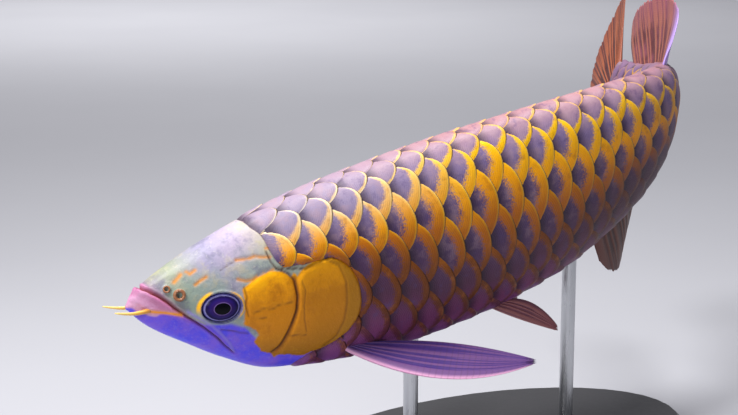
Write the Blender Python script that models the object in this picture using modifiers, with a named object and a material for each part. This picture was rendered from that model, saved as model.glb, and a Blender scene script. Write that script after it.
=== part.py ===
"""Asian arowana, a life-size still model of the living fish, held up by a stand with two rods."""
import math

import bmesh
import bpy
import numpy as np
from mathutils import Matrix, Vector

# Size, in metres. Stations and heights below are shares of the standard length.
STANDARD_LENGTH = 0.44
GAP = 0.0003

# Pose: turn about the upright axis, nose down, and roll, then the height of the snout's axis
TURN = math.radians(30.2)
NOSE_DOWN = math.radians(13.7)
ROLL = math.radians(-2.1)
SNOUT_PLACE = (-0.1382, -0.1568, 0.112)

# The spine's bend towards the fish's right, and the body's twist about the spine, in degrees
BEND_AT = (-0.05, 0.15, 0.40, 0.50, 0.60, 0.70, 0.80, 0.90, 1.00, 1.20)
BEND_DEGREES = (0.0, 0.0, -2.8, -2.4, 2.0, 9.0, 46.0, 74.0, 66.0, 60.0)
TWIST_AT = (0.12, 0.50, 0.90, 1.20)
TWIST_DEGREES = (0.0, 11.0, 24.0, 24.0)
SPINE_STEPS = 500

# Outline of the body without its fins
BACK_AT = (-0.024, -0.012, 0.0, 0.03, 0.08, 0.15, 0.25, 0.40, 0.55, 0.68, 0.76, 0.84, 0.91, 1.0)
BACK_HEIGHT = (0.044, 0.053, 0.059, 0.069, 0.081, 0.092, 0.100,
               0.103, 0.100, 0.093, 0.085, 0.068, 0.053, 0.046)
BELLY_AT = (-0.024, -0.012, 0.0, 0.03, 0.07, 0.12, 0.18, 0.25, 0.35, 0.45, 0.56, 0.66, 0.76, 0.86, 0.93, 1.0)
BELLY_HEIGHT = (0.036, 0.017, 0.003, -0.025, -0.060, -0.094, -0.112, -0.128, -0.143,
                -0.147, -0.141, -0.121, -0.088, -0.054, -0.036, -0.035)
WIDTH_AT = (-0.024, -0.012, 0.0, 0.03, 0.08, 0.13, 0.20, 0.30, 0.45, 0.60, 0.75, 0.85, 0.95, 1.0)
HALF_WIDTH = (0.004, 0.011, 0.017, 0.027, 0.038, 0.045, 0.051,
              0.054, 0.053, 0.047, 0.036, 0.026, 0.016, 0.012)
SIDE_ROUNDNESS = 0.9
BACK_ROUNDNESS = 0.95

# Head
HEAD_RINGS = (-0.022, -0.016, -0.006, 0.006, 0.02, 0.036, 0.054, 0.072, 0.09, 0.108, 0.126, 0.144)
MOUTH_TOP = (-0.004, 0.057)
MOUTH_CORNER = (0.078, -0.049)
LIP_RADIUS = 0.0021
EYE_AT = 0.074
EYE_ANGLE = math.radians(0.5)
EYE_RADIUS = 0.0104
EYE_DEPTH = 0.0050
EYE_PROUD = 0.0022
ORBIT_RADIUS = 0.0009
RING_SIDES = 5
NOSTRILS = ((0.021, math.radians(36.0), 0.0017, 0.0008), (0.032, math.radians(21.0), 0.0024, 0.0014))
BARBEL_LENGTH = 0.021
BARBEL_FOOT = (-0.006, 0.0)
BARBEL_RISE = 18.0
BARBEL_SPLAY = 8.0
BARBEL_BOW = 0.0012
BARBEL_RADIUS = 0.0014
BARBEL_TIP_RADIUS = 0.0005

# Plates of the head: their rear edge's station by height angle, in degrees
CHEEK_HEIGHTS = (-44.0, -30.0, -15.0, 0.0, 10.0, 22.0)
CHEEK_FRONT = (0.104, 0.102, 0.103, 0.106, 0.105, 0.112)
CHEEK_REAR = (0.117, 0.136, 0.151, 0.161, 0.162, 0.142)
COVER_HEIGHTS = (-52.0, -42.0, -33.0, -20.0, -6.0, 6.0, 14.0, 20.0)
COVER_FRONT = (0.146, 0.131, 0.141, 0.155, 0.166, 0.170, 0.168, 0.172)
COVER_REAR = (0.172, 0.203, 0.224, 0.241, 0.247, 0.241, 0.229, 0.207)
CHEEK_PROUD = 0.0008
COVER_PROUD = 0.0014
COVER_INNER = -0.0030
EDGE_ROOM = 2.0
PLATE_RADIUS = 0.10
PLATE_CROWN = 0.35
PLATE_STEPS = (10, 6)
COVER_ROOM = 0.010

# Scales: rows by their angle down from the back, at the shoulder and at the tail
ROW_STEPS = (2, 2, 2, 2, 2, 2, 2, 2)
ROW_AT = (0.20, 0.45, 0.75)
ROW_DEGREES = ((90.0, 90.0, 90.0), (72.0, 70.0, 64.0), (55.0, 47.0, 32.0), (30.0, 21.0, 8.0),
               (14.0, -3.0, -12.0), (-3.0, -24.0, -31.0), (-24.0, -45.0, -50.0), (-54.0, -68.0, -70.0),
               (-90.0, -90.0, -90.0))
FIRST_TIP = 0.200
FIRST_PITCH = 0.0413
LAST_PITCH = 0.0303
SCALE_COLUMNS = 44
SCALE_RISE = 0.0011
SCALE_ARC = 0.80
SCALE_SIDE_DROP = 0.6
SCALES_START = 0.172
SCALES_RAMP = 0.02
LAST_TIP = 0.985

# Cuts between the lengths of the body
HEAD_CUT = 0.188
BODY_CUTS = (0.42, 0.64, 0.85)

# Fins: thickness of the web at the root and at the edge, and how far a ray stands out of it
WEB_AT_EDGE = 0.0006
WEB_THINNING = 1.3
RAY_RISE = 0.00045
RAY_TAPER = 0.7
EDGE_RAY_SHARE = 0.8
FOOT_DEPTH = 0.0030
FOOT_WAY = (0.6, 0.8)
ROOM_STEPS = 3

# Fin sizes, as shares of the standard length, angles in degrees
DORSAL_BASE = (0.785, 0.940)
DORSAL_HEIGHT = ((0.0, 0.052), (0.15, 0.080), (0.4, 0.101), (0.75, 0.102), (1.0, 0.080))
DORSAL_LEAN = (10.0, 50.0)
ANAL_BASE = (0.645, 0.918)
ANAL_HEIGHT = ((0.0, 0.075), (0.12, 0.125), (0.35, 0.112), (0.7, 0.090), (1.0, 0.080))
ANAL_LEAN = (18.0, 62.0)
TAIL_LENGTH = 0.150
TAIL_FAN = 34.0
TAIL_TURN = 24.0
PECTORAL_LEADING = ((0.032, 0.216, -0.102), (0.134, 0.282, -0.167), (0.120, 0.443, -0.180))
PECTORAL_TRAILING = ((0.034, 0.242, -0.104), (0.044, 0.358, -0.135), (0.116, 0.446, -0.178))
PELVIC_LEADING = ((0.013, 0.446, -0.1445), (0.030, 0.480, -0.172), (0.050, 0.530, -0.201))
PELVIC_TRAILING = ((0.017, 0.478, -0.1430), (0.024, 0.515, -0.152), (0.046, 0.533, -0.196))
STALK_SHARE = 0.86
TAIL_CORNER_LENGTH = 0.80

# Stand
BASE_LENGTH = 0.27
BASE_WIDTH = 0.16
BASE_THICKNESS = 0.014
BASE_EDGE = 0.003
ROD_RADIUS = 0.0042
ROD_STATIONS = (0.33, 0.60)
ROD_SOCKET = 0.006
ROD_SIDES = 20

COLOURS = {
    "gold": (0.62, 0.36, 0.05, 1.0),
    "head": (0.50, 0.50, 0.42, 1.0),
    "jaw": (0.25, 0.22, 0.45, 1.0),
    "fin": (0.50, 0.28, 0.30, 1.0),
    "eye": (0.02, 0.02, 0.08, 1.0),
    "barbel": (0.75, 0.40, 0.08, 1.0),
    "stand": (0.02, 0.02, 0.022, 1.0),
    "rod": (0.55, 0.56, 0.58, 1.0),
}


def smooth_curve(stations, values):
    """Return a function that runs smoothly through the values and never overshoots them."""
    x = np.array(stations, float)
    y = np.array(values, float)
    step = np.diff(x)
    slope = np.diff(y) / step
    tangent = np.zeros(len(x))
    tangent[0] = slope[0]
    tangent[-1] = slope[-1]
    for i in range(1, len(x) - 1):
        if slope[i - 1] * slope[i] > 0.0:
            tangent[i] = 2.0 * slope[i - 1] * slope[i] / (slope[i - 1] + slope[i])

    def value_at(place):
        place = min(max(place, x[0]), x[-1])
        i = min(max(int(np.searchsorted(x, place, side="right")) - 1, 0), len(x) - 2)
        u = (place - x[i]) / step[i]
        start = (1.0 + 2.0 * u) * (1.0 - u) ** 2 * y[i] + u * (1.0 - u) ** 2 * step[i] * tangent[i]
        end = u * u * (3.0 - 2.0 * u) * y[i + 1] + u * u * (u - 1.0) * step[i] * tangent[i + 1]
        return float(start + end)

    return value_at


back_height = smooth_curve(BACK_AT, BACK_HEIGHT)
belly_height = smooth_curve(BELLY_AT, BELLY_HEIGHT)
half_width = smooth_curve(WIDTH_AT, HALF_WIDTH)
bend = smooth_curve(BEND_AT, BEND_DEGREES)
twist = smooth_curve(TWIST_AT, TWIST_DEGREES)
row_curves = [smooth_curve(ROW_AT, angles) for angles in ROW_DEGREES]


def spine_table():
    """Walk along the spine in short steps and note where each one ends."""
    stations = np.linspace(BEND_AT[0], BEND_AT[-1], SPINE_STEPS)
    headings = np.radians([bend(s) for s in stations])
    step = (stations[1] - stations[0]) * STANDARD_LENGTH
    middles = (headings[1:] + headings[:-1]) / 2.0
    along = np.concatenate([[0.0], np.cumsum(np.cos(middles) * step)])
    aside = np.concatenate([[0.0], np.cumsum(np.sin(middles) * step)])
    return stations, along + stations[0] * STANDARD_LENGTH, aside


SPINE = spine_table()


def section_point(s, out, up):
    """Point of the cross-section at s, so far out to the left and so far up from the spine."""
    x = float(np.interp(s, SPINE[0], SPINE[1]))
    y = float(np.interp(s, SPINE[0], SPINE[2]))
    heading = math.radians(bend(s))
    roll = math.radians(twist(s))
    aside = out * math.cos(roll) + up * math.sin(roll)
    rise = up * math.cos(roll) - out * math.sin(roll)
    return Vector((x + aside * math.sin(heading), y - aside * math.cos(heading), rise))


def skin_offsets(s, angle, lift=0.0):
    """How far out and up the skin lies at an angle: 0 is the left side, 90 degrees the back."""
    top = back_height(s) * STANDARD_LENGTH
    bottom = belly_height(s) * STANDARD_LENGTH
    wide = half_width(s) * STANDARD_LENGTH + lift
    deep = (top - bottom) / 2.0 + lift
    sideways = math.copysign(abs(math.cos(angle)) ** SIDE_ROUNDNESS, math.cos(angle))
    upwards = math.copysign(abs(math.sin(angle)) ** BACK_ROUNDNESS, math.sin(angle))
    return wide * sideways, (top + bottom) / 2.0 + deep * upwards


def skin(s, angle, lift=0.0):
    """Point of the skin at a station and an angle, lifted by so much."""
    out, up = skin_offsets(s, angle, lift)
    return section_point(s, out, up)


def skin_axis(s, angle):
    """Point of the skin and the direction that faces out of it there."""
    here = skin(s, angle)
    along = skin(s + 0.004, angle) - skin(s - 0.004, angle)
    around = skin(s, angle + 0.03) - skin(s, angle - 0.03)
    return here, along.cross(around).normalized()


def new_object(name, mesh, collection):
    thing = bpy.data.objects.new(name, mesh)
    collection.objects.link(thing)
    return thing


def object_from_bmesh(name, bm, collection):
    """Turn a closed bmesh into an object with its faces pointing out."""
    bmesh.ops.remove_doubles(bm, verts=bm.verts, dist=1e-6)
    bmesh.ops.recalc_face_normals(bm, faces=bm.faces)
    mesh = bpy.data.meshes.new(name)
    bm.to_mesh(mesh)
    bm.free()
    return new_object(name, mesh, collection)


def loft(rings, triangles=False):
    """Join closed rings of points, with the first and the last closed by a flat face."""
    bm = bmesh.new()
    rows = [[bm.verts.new(point) for point in ring] for ring in rings]
    count = len(rows[0])
    for lower, upper in zip(rows, rows[1:]):
        for i in range(count):
            j = (i + 1) % count
            if triangles:
                bm.faces.new((lower[i], lower[j], upper[j]))
                bm.faces.new((lower[i], upper[j], upper[i]))
            else:
                bm.faces.new((lower[i], lower[j], upper[j], upper[i]))
    bm.faces.new(list(reversed(rows[0])))
    bm.faces.new(rows[-1])
    return bm


def tube(points, radii, sides):
    """Closed tube through the points, with a radius at each."""
    rings = []
    for i, point in enumerate(points):
        before = points[max(i - 1, 0)]
        after = points[min(i + 1, len(points) - 1)]
        turn = (after - before).to_track_quat("Z", "Y").to_matrix()
        ring = []
        for k in range(sides):
            a = 2.0 * math.pi * k / sides
            ring.append(point + turn @ Vector((radii[i] * math.cos(a), radii[i] * math.sin(a), 0.0)))
        rings.append(ring)
    return loft(rings)


def combine(target, others, operation, solver="EXACT"):
    """Join the others to the target, or cut them out of it, and remove them."""
    pool = bpy.data.collections.new("pool")
    bpy.context.scene.collection.children.link(pool)
    for other in others:
        for owner in list(other.users_collection):
            owner.objects.unlink(other)
        pool.objects.link(other)
    modifier = target.modifiers.new("combine", "BOOLEAN")
    modifier.operation = operation
    modifier.operand_type = "COLLECTION"
    modifier.collection = pool
    modifier.solver = solver
    graph = bpy.context.evaluated_depsgraph_get()
    result = bpy.data.meshes.new_from_object(target.evaluated_get(graph))
    target.modifiers.clear()
    target.data = result
    for other in others:
        bpy.data.objects.remove(other)
    bpy.data.collections.remove(pool)
    keep_largest(target)


def keep_largest(thing):
    """Keep only the largest closed surface of a mesh."""
    bm = bmesh.new()
    bm.from_mesh(thing.data)
    bmesh.ops.remove_doubles(bm, verts=bm.verts, dist=2e-6)
    bmesh.ops.dissolve_degenerate(bm, edges=bm.edges, dist=1e-6)
    unseen = set(bm.faces)
    islands = []
    while unseen:
        stack = [unseen.pop()]
        island = []
        while stack:
            face = stack.pop()
            island.append(face)
            for edge in face.edges:
                for other in edge.link_faces:
                    if other in unseen:
                        unseen.remove(other)
                        stack.append(other)
        islands.append(island)
    islands.sort(key=lambda faces: sum(face.calc_area() for face in faces), reverse=True)
    for island in islands[1:]:
        bmesh.ops.delete(bm, geom=island, context="FACES")
    bm.to_mesh(thing.data)
    bm.free()


def row_angles(s):
    """Angles of the ring's points at a station: rows of scales and the steps between them."""
    angles = []
    rows = [curve(s) for curve in row_curves]
    for i, steps in enumerate(ROW_STEPS):
        for k in range(steps):
            angles.append((i, k / steps, rows[i] + (rows[i + 1] - rows[i]) * k / steps))
    left = angles + [(len(ROW_STEPS), 0.0, -90.0)]
    right = [(i, f, 180.0 - a) for i, f, a in reversed(left[1:-1])]
    return left + right


def scale_tip(column):
    """Station of the rear tips of a column of scales; columns lie half a pitch apart."""
    k = column / 2.0
    return FIRST_TIP + FIRST_PITCH * k + (LAST_PITCH - FIRST_PITCH) * k * k / SCALE_COLUMNS


def scale_rings(column):
    """The raised rear edge of a column of scales, and the skin right below it."""
    tip = scale_tip(column)
    arc = (tip - scale_tip(column - 1)) * SCALE_ARC
    raised = []
    sunk = []
    for row, share, angle in row_angles(tip):
        off_row = share if row % 2 == column % 2 else 1.0 - share
        place = tip - arc * (1.0 - math.sqrt(max(0.0, 1.0 - off_row * off_row)))
        covered = min(max((place - SCALES_START) / SCALES_RAMP, 0.0), 1.0)
        shrink = min(1.0, (scale_tip(column) - scale_tip(column - 1)) / (FIRST_PITCH / 2.0) + 0.2)
        rise = SCALE_RISE * covered * shrink * (1.0 - SCALE_SIDE_DROP * off_row * off_row)
        raised.append(skin(place, math.radians(angle), rise))
        sunk.append(skin(place, math.radians(angle)))
    return raised, sunk


def whole_body(collection):
    """Head, trunk and tail stalk as one closed surface, with the scales raised in it."""
    rings = []
    for s in HEAD_RINGS:
        rings.append([skin(s, math.radians(angle)) for _, _, angle in row_angles(s)])
    for column in range(-1, SCALE_COLUMNS):
        if scale_tip(column) < LAST_TIP:
            rings.extend(scale_rings(column))
    rings.append([skin(1.0, math.radians(angle)) for _, _, angle in row_angles(1.0)])
    return object_from_bmesh("whole_body", loft(rings), collection)


def patch(name, collection, heights, front, rear, inner, outer, side, margin=0.0):
    """Closed plate that follows the skin between a front and a rear edge, on one side."""
    front_edge = smooth_curve(heights, front)
    rear_edge = smooth_curve(heights, rear)
    room = EDGE_ROOM * margin / STANDARD_LENGTH
    extra = math.degrees(room / PLATE_RADIUS)
    low = heights[0] - extra
    high = heights[-1] + extra
    rings = []
    steps, across = PLATE_STEPS
    for i in range(steps + 1):
        angle = low + (high - low) * i / steps
        ring = []
        ends = (front_edge(angle) - room, rear_edge(angle) + room)
        for lift, order in ((outer + margin, range(across + 1)), (inner - margin, range(across, -1, -1))):
            for k in order:
                u = k / across
                s = ends[0] + (ends[1] - ends[0]) * u
                crown = 1.0 - PLATE_CROWN * (2.0 * u - 1.0) ** 2 if lift > 0.0 else 1.0
                turned = math.radians(angle if side > 0 else 180.0 - angle)
                ring.append(skin(s, turned, lift * crown))
        rings.append(ring)
    return object_from_bmesh(name, loft(rings), collection)


def ball(name, collection, centre, axis, radius, depth):
    """Flattened ball whose short axis points along the given direction."""
    bm = bmesh.new()
    turn = axis.to_track_quat("Z", "Y").to_matrix().to_4x4()
    matrix = Matrix.Translation(centre) @ turn @ Matrix.Diagonal((radius, radius, depth, 1.0))
    bmesh.ops.create_uvsphere(bm, u_segments=18, v_segments=8, radius=1.0, matrix=matrix)
    return object_from_bmesh(name, bm, collection)


def eye(name, collection, side, margin=0.0):
    angle = EYE_ANGLE if side > 0 else math.pi - EYE_ANGLE
    here, axis = skin_axis(EYE_AT, angle)
    centre = here + axis * (EYE_PROUD - EYE_DEPTH)
    return ball(name, collection, centre, axis, EYE_RADIUS + margin, EYE_DEPTH + margin)


def ring_on_skin(name, collection, s, angle, radius, thickness, sides):
    """Rounded ring that lies half sunk in the skin."""
    here, axis = skin_axis(s, angle)
    turn = axis.to_track_quat("Z", "Y").to_matrix()
    bm = bmesh.new()
    rows = []
    for i in range(sides):
        a = 2.0 * math.pi * i / sides
        out = turn @ Vector((math.cos(a), math.sin(a), 0.0))
        row = []
        for k in range(RING_SIDES):
            b = 2.0 * math.pi * k / RING_SIDES
            point = here + out * (radius + thickness * math.cos(b)) + axis * thickness * math.sin(b)
            row.append(bm.verts.new(point))
        rows.append(row)
    for i in range(sides):
        for k in range(RING_SIDES):
            j = (i + 1) % sides
            m = (k + 1) % RING_SIDES
            bm.faces.new((rows[i][k], rows[i][m], rows[j][m], rows[j][k]))
    return object_from_bmesh(name, bm, collection)


def peg(name, collection, start, axis, length, radius, sides, end_radius=None):
    """Short round peg from a point along a direction."""
    bm = bmesh.new()
    turn = axis.to_track_quat("Z", "Y").to_matrix().to_4x4()
    matrix = Matrix.Translation(start + axis * (length / 2.0)) @ turn
    end = radius if end_radius is None else end_radius
    bmesh.ops.create_cone(bm, cap_ends=True, segments=sides, radius1=radius, radius2=end, depth=length,
                          matrix=matrix)
    return object_from_bmesh(name, bm, collection)


def mouth_height(s):
    """Height of the mouth's slanting plane at a station, as a share of the length."""
    slope = (MOUTH_CORNER[1] - MOUTH_TOP[1]) / (MOUTH_CORNER[0] - MOUTH_TOP[0])
    return MOUTH_TOP[1] + slope * (s - MOUTH_TOP[0])


def mouth_edge(share):
    """Point where the mouth's plane meets the skin: share 0 at the corner, 1 at the front."""
    s = MOUTH_CORNER[0] + (MOUTH_TOP[0] - MOUTH_CORNER[0]) * share
    middle = (back_height(s) + belly_height(s)) / 2.0
    deep = (back_height(s) - belly_height(s)) / 2.0
    level = min(max((mouth_height(s) - middle) / deep, -1.0), 1.0)
    return s, math.asin(math.copysign(abs(level) ** (1.0 / BACK_ROUNDNESS), level))


def lips(collection):
    """One rounded roll along the mouth, which the cut of the mouth parts into two lips."""
    shares = (0.0, 0.15, 0.32, 0.5, 0.68, 0.82, 0.92, 0.975)
    left = [mouth_edge(share) for share in shares]
    points = [skin(s, a, -0.0004) for s, a in left]
    points += [skin(s, math.pi - a, -0.0004) for s, a in reversed(left)]
    radii = [LIP_RADIUS * r for r in (0.55, 0.9, 1.0, 1.0, 0.95, 0.85, 0.8, 0.75)]
    return object_from_bmesh("lips", tube(points, radii + radii[::-1], 6), collection)


def barbel(name, collection, side, margin=0.0):
    """Tapered feeler from the tip of the lower jaw; side is 1 on the left and -1 on the right."""
    station, height = BARBEL_FOOT
    angle = math.radians(height if side > 0 else 180.0 - height)
    here, axis = skin_axis(station, angle)
    rise = math.radians(BARBEL_RISE)
    splay = math.radians(BARBEL_SPLAY) * side
    forward = Vector((-math.cos(rise) * math.cos(splay), -math.cos(rise) * math.sin(splay), math.sin(rise)))
    points = []
    radii = []
    steps = 7
    for i in range(steps + 1):
        u = i / steps
        bow = Vector((0.0, 0.0, -BARBEL_BOW)) * math.sin(math.pi * u)
        points.append(here - forward * 0.0022 + forward * (BARBEL_LENGTH * u) + bow)
        radii.append(BARBEL_RADIUS + (BARBEL_TIP_RADIUS - BARBEL_RADIUS) * u + margin)
    return object_from_bmesh(name, tube(points, radii, 8), collection)


def fin_blade(name, collection, place, rays, steps, root_web, margin=0.0):
    """Web of a fin with its rays, from a function of the share across and the share out.

    place(u, v) gives the middle of the web and the direction that faces out of it. Both
    faces are split into the same triangles. At v = -1 lies the foot, sunk in the body.
    """
    bm = bmesh.new()
    columns = 2 * rays - 1
    levels = [-1.0] + [k / steps for k in range(steps + 1)]
    spare = 0.0
    if margin > 0.0:
        levels = [-1.0 - margin / FOOT_DEPTH] + [k / steps for k in range(ROOM_STEPS)]
        spare = margin / (place(1.0, 0.0)[0] - place(0.0, 0.0)[0]).length
    faces = {}
    for face in (1, -1):
        for i in range(columns):
            u = i / (columns - 1) * (1.0 + 2.0 * spare) - spare
            for k, v in enumerate(levels):
                middle, normal = place(u, v)
                out = max(v, 0.0)
                web = root_web + (WEB_AT_EDGE - root_web) * min(out * WEB_THINNING, 1.0)
                ray = RAY_RISE * (1.0 - RAY_TAPER * out) if i % 2 == 0 else 0.0
                if i == 0 or i == columns - 1:
                    web = web * EDGE_RAY_SHARE
                faces[face, i, k] = bm.verts.new(middle + normal * face * (web / 2.0 + ray + margin))
    top = len(levels) - 1
    for i in range(columns - 1):
        for k in range(top):
            a = [faces[1, i, k], faces[1, i + 1, k], faces[1, i + 1, k + 1], faces[1, i, k + 1]]
            b = [faces[-1, i, k], faces[-1, i + 1, k], faces[-1, i + 1, k + 1], faces[-1, i, k + 1]]
            if (i + k) % 2 == 0:
                cut = ((0, 1, 2), (0, 2, 3))
            else:
                cut = ((0, 1, 3), (1, 2, 3))
            for one in cut:
                bm.faces.new([a[n] for n in one])
                bm.faces.new([b[n] for n in reversed(one)])
        bm.faces.new((faces[1, i, 0], faces[-1, i, 0], faces[-1, i + 1, 0], faces[1, i + 1, 0]))
        bm.faces.new((faces[1, i, top], faces[1, i + 1, top], faces[-1, i + 1, top], faces[-1, i, top]))
    for i, flip in ((0, False), (columns - 1, True)):
        for k in range(top):
            ring = [faces[1, i, k], faces[1, i, k + 1], faces[-1, i, k + 1], faces[-1, i, k]]
            bm.faces.new(ring[::-1] if flip else ring)
    return object_from_bmesh(name, bm, collection)


def median_fin(base_start, base_end, height, lean_start, lean_end, above, ripple):
    """Place function of a fin on the midline: its base along the back or the belly."""
    tallness = smooth_curve([share for share, _ in height], [tall for _, tall in height])

    def place(u, v):
        s = base_start + (base_end - base_start) * u
        lean = math.radians(lean_start + (lean_end - lean_start) * u)
        tall = tallness(u) * v if v > 0.0 else FOOT_DEPTH / STANDARD_LENGTH * v
        edge = back_height(s) if above else belly_height(s)
        way = 1.0 if above else -1.0
        along = s + tall * math.sin(lean)
        up = (edge + way * tall * math.cos(lean)) * STANDARD_LENGTH
        wave = ripple * math.sin(u * 5.0 + v * 2.0) * max(v, 0.0) ** 1.5
        middle = section_point(along, wave, up)
        normal = section_point(along, wave + 0.001, up) - middle
        return middle, normal.normalized()

    return place


def tail_fin_place(u, v):
    """Place function of the tail fin, which fans out behind the tail stalk."""
    angle = math.radians(TAIL_FAN * (1.0 - 2.0 * u) + TAIL_TURN)
    top = back_height(1.0)
    bottom = belly_height(1.0)
    root_up = (top + bottom) / 2.0 + (top - bottom) / 2.0 * STALK_SHARE * (1.0 - 2.0 * u)
    middle_share = max(math.sin(math.pi * u), 0.0) ** 0.6
    length = TAIL_LENGTH * (TAIL_CORNER_LENGTH + (1.0 - TAIL_CORNER_LENGTH) * middle_share)
    reach = length * v if v > 0.0 else FOOT_DEPTH / STANDARD_LENGTH * v
    spread = math.sin(angle) * reach if v > 0.0 else 0.0
    along = 1.0 + math.cos(angle) * reach
    wave = 0.002 * math.sin(u * 6.0) * max(v, 0.0)
    up = (root_up + spread) * STANDARD_LENGTH
    middle = section_point(along, wave, up)
    normal = section_point(along, wave + 0.001, up) - middle
    return middle, normal.normalized()


def paired_fin(leading, trailing, side):
    """Place function of a paired fin between two edges, each bent by its middle control point."""

    def edge(points, v):
        return [(1.0 - v) ** 2 * points[0][n] + 2.0 * v * (1.0 - v) * points[1][n] + v * v * points[2][n]
                for n in range(3)]

    def point(u, v):
        front = edge(leading, max(v, 0.0))
        rear = edge(trailing, max(v, 0.0))
        out, s, up = [front[n] + (rear[n] - front[n]) * u for n in range(3)]
        sunk = FOOT_DEPTH / STANDARD_LENGTH * min(v, 0.0)
        out = (out + sunk * FOOT_WAY[0]) * side
        return section_point(s, out * STANDARD_LENGTH, (up - sunk * FOOT_WAY[1]) * STANDARD_LENGTH)

    def place(u, v):
        middle = point(u, v)
        across = point(min(u + 0.05, 1.0), v) - point(max(u - 0.05, 0.0), v)
        along = point(u, max(v, 0.0) + 0.04) - point(u, max(v, 0.0))
        return middle, across.cross(along).normalized() * side

    return place


def fins():
    """Each fin's place function, its number of rays, steps and root thickness."""
    made = {
        "dorsal_fin": (median_fin(*DORSAL_BASE, DORSAL_HEIGHT, *DORSAL_LEAN, True, 0.002), 13, 5, 0.0022),
        "anal_fin": (median_fin(*ANAL_BASE, ANAL_HEIGHT, *ANAL_LEAN, False, 0.0015), 14, 5, 0.0022),
        "caudal_fin": (tail_fin_place, 12, 5, 0.0030),
    }
    for name, side in (("left", 1), ("right", -1)):
        made["pectoral_fin_" + name] = (paired_fin(PECTORAL_LEADING, PECTORAL_TRAILING, side), 7, 7, 0.0034)
        made["pelvic_fin_" + name] = (paired_fin(PELVIC_LEADING, PELVIC_TRAILING, side), 5, 5, 0.0026)
    return made


def cut_plane(s):
    """Point and forward direction of the plane across the body at a station."""
    centre = section_point(s, 0.0, 0.0)
    ahead = (section_point(s + 0.005, 0.0, 0.0) - section_point(s - 0.005, 0.0, 0.0)).normalized()
    return centre, ahead


def part_between(name, source, planes, collection):
    """Copy the source and keep what lies behind each plane; cut faces are closed flat."""
    bm = bmesh.new()
    bm.from_mesh(source.data)
    for point, direction in planes:
        everything = bm.verts[:] + bm.edges[:] + bm.faces[:]
        bmesh.ops.bisect_plane(bm, geom=everything, dist=1e-6, plane_co=point + direction * (GAP / 2.0),
                               plane_no=direction, clear_inner=True)
        rim = [edge for edge in bm.edges if edge.is_boundary]
        bmesh.ops.triangle_fill(bm, edges=rim, use_beauty=True, use_dissolve=False)
    thing = object_from_bmesh(name, bm, collection)
    keep_largest(thing)
    return thing


def mouth_plane():
    """Point and upward direction of the slanting plane that parts the lower jaw from the head."""
    point = Vector((MOUTH_TOP[0] * STANDARD_LENGTH, 0.0, MOUTH_TOP[1] * STANDARD_LENGTH))
    above = Vector((MOUTH_TOP[1] - MOUTH_CORNER[1], 0.0, MOUTH_CORNER[0] - MOUTH_TOP[0]))
    return point, above.normalized()


def paint(thing, colour, roughness=0.4, metallic=0.0):
    material = bpy.data.materials.new(thing.name)
    material.use_nodes = True
    shader = material.node_tree.nodes["Principled BSDF"]
    shader.inputs["Base Color"].default_value = COLOURS[colour]
    shader.inputs["Roughness"].default_value = roughness
    shader.inputs["Metallic"].default_value = metallic
    thing.data.materials.clear()
    thing.data.materials.append(material)
    thing.data.shade_smooth()
    thing.data.set_sharp_from_angle(angle=math.radians(35.0))


def build_fish(collection, pose):
    body = whole_body(collection)
    cutters = []
    sides = (("left", 1), ("right", -1))
    made = {}
    cheeks = []
    orbits = []
    for name, side in sides:
        cheeks.append(patch("cheek_" + name, collection, CHEEK_HEIGHTS, CHEEK_FRONT, CHEEK_REAR,
                            -0.0020, CHEEK_PROUD, side))
        eye_angle = EYE_ANGLE if side > 0 else math.pi - EYE_ANGLE
        orbits.append(ring_on_skin("orbit_" + name, collection, EYE_AT, eye_angle,
                                   EYE_RADIUS * 0.90, ORBIT_RADIUS, 14))
        for n, (s, angle, outer, inner) in enumerate(NOSTRILS):
            turned = angle if side > 0 else math.pi - angle
            here, axis = skin_axis(s, turned)
            orbits.append(peg("nostril_%s_%d" % (name, n), collection, here - axis * 0.0015, axis,
                              0.0026, outer * 1.15, 12, outer))
            cutters.append(peg("nostril_hole_%s_%d" % (name, n), collection, here - axis * 0.0010, axis,
                               0.0040, inner, 10))
    combine(body, cheeks + orbits + [lips(collection)], "UNION")
    for name, side in sides:
        made["gill_cover_" + name] = patch("gill_cover_" + name, collection, COVER_HEIGHTS, COVER_FRONT,
                                           COVER_REAR, COVER_INNER, COVER_PROUD, side)
        cutters.append(patch("cover_room_" + name, collection, COVER_HEIGHTS, COVER_FRONT,
                             COVER_REAR, COVER_INNER, COVER_ROOM, side, GAP))
        made["eye_" + name] = eye("eye_" + name, collection, side)
        cutters.append(eye("eye_room_" + name, collection, side, GAP))
        made["barbel_" + name] = barbel("barbel_" + name, collection, side)
        cutters.append(barbel("barbel_room_" + name, collection, side, GAP))
    for name, (place, rays, steps, root_web) in fins().items():
        made[name] = fin_blade(name, collection, place, rays, steps, root_web)
        cutters.append(fin_blade(name + "_room", collection, place, rays, steps, root_web, GAP))
    for rod in rod_pieces(collection, pose, GAP):
        cutters.append(rod)
    combine(body, cutters, "DIFFERENCE")
    mouth, above = mouth_plane()
    neck, ahead = cut_plane(HEAD_CUT)
    made["head"] = part_between("head", body, [(mouth, above), (neck, -ahead)], collection)
    made["lower_jaw"] = part_between("lower_jaw", body, [(mouth, -above), (neck, -ahead)], collection)
    names = ("body_front", "body_middle", "body_rear", "tail_stalk")
    ends = (HEAD_CUT,) + BODY_CUTS
    for i, name in enumerate(names):
        start, ahead = cut_plane(ends[i])
        planes = [(start, ahead)]
        if i + 1 < len(ends):
            end, beyond = cut_plane(ends[i + 1])
            planes.append((end, -beyond))
        made[name] = part_between(name, body, planes, collection)
    bpy.data.objects.remove(body)
    return made


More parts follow.
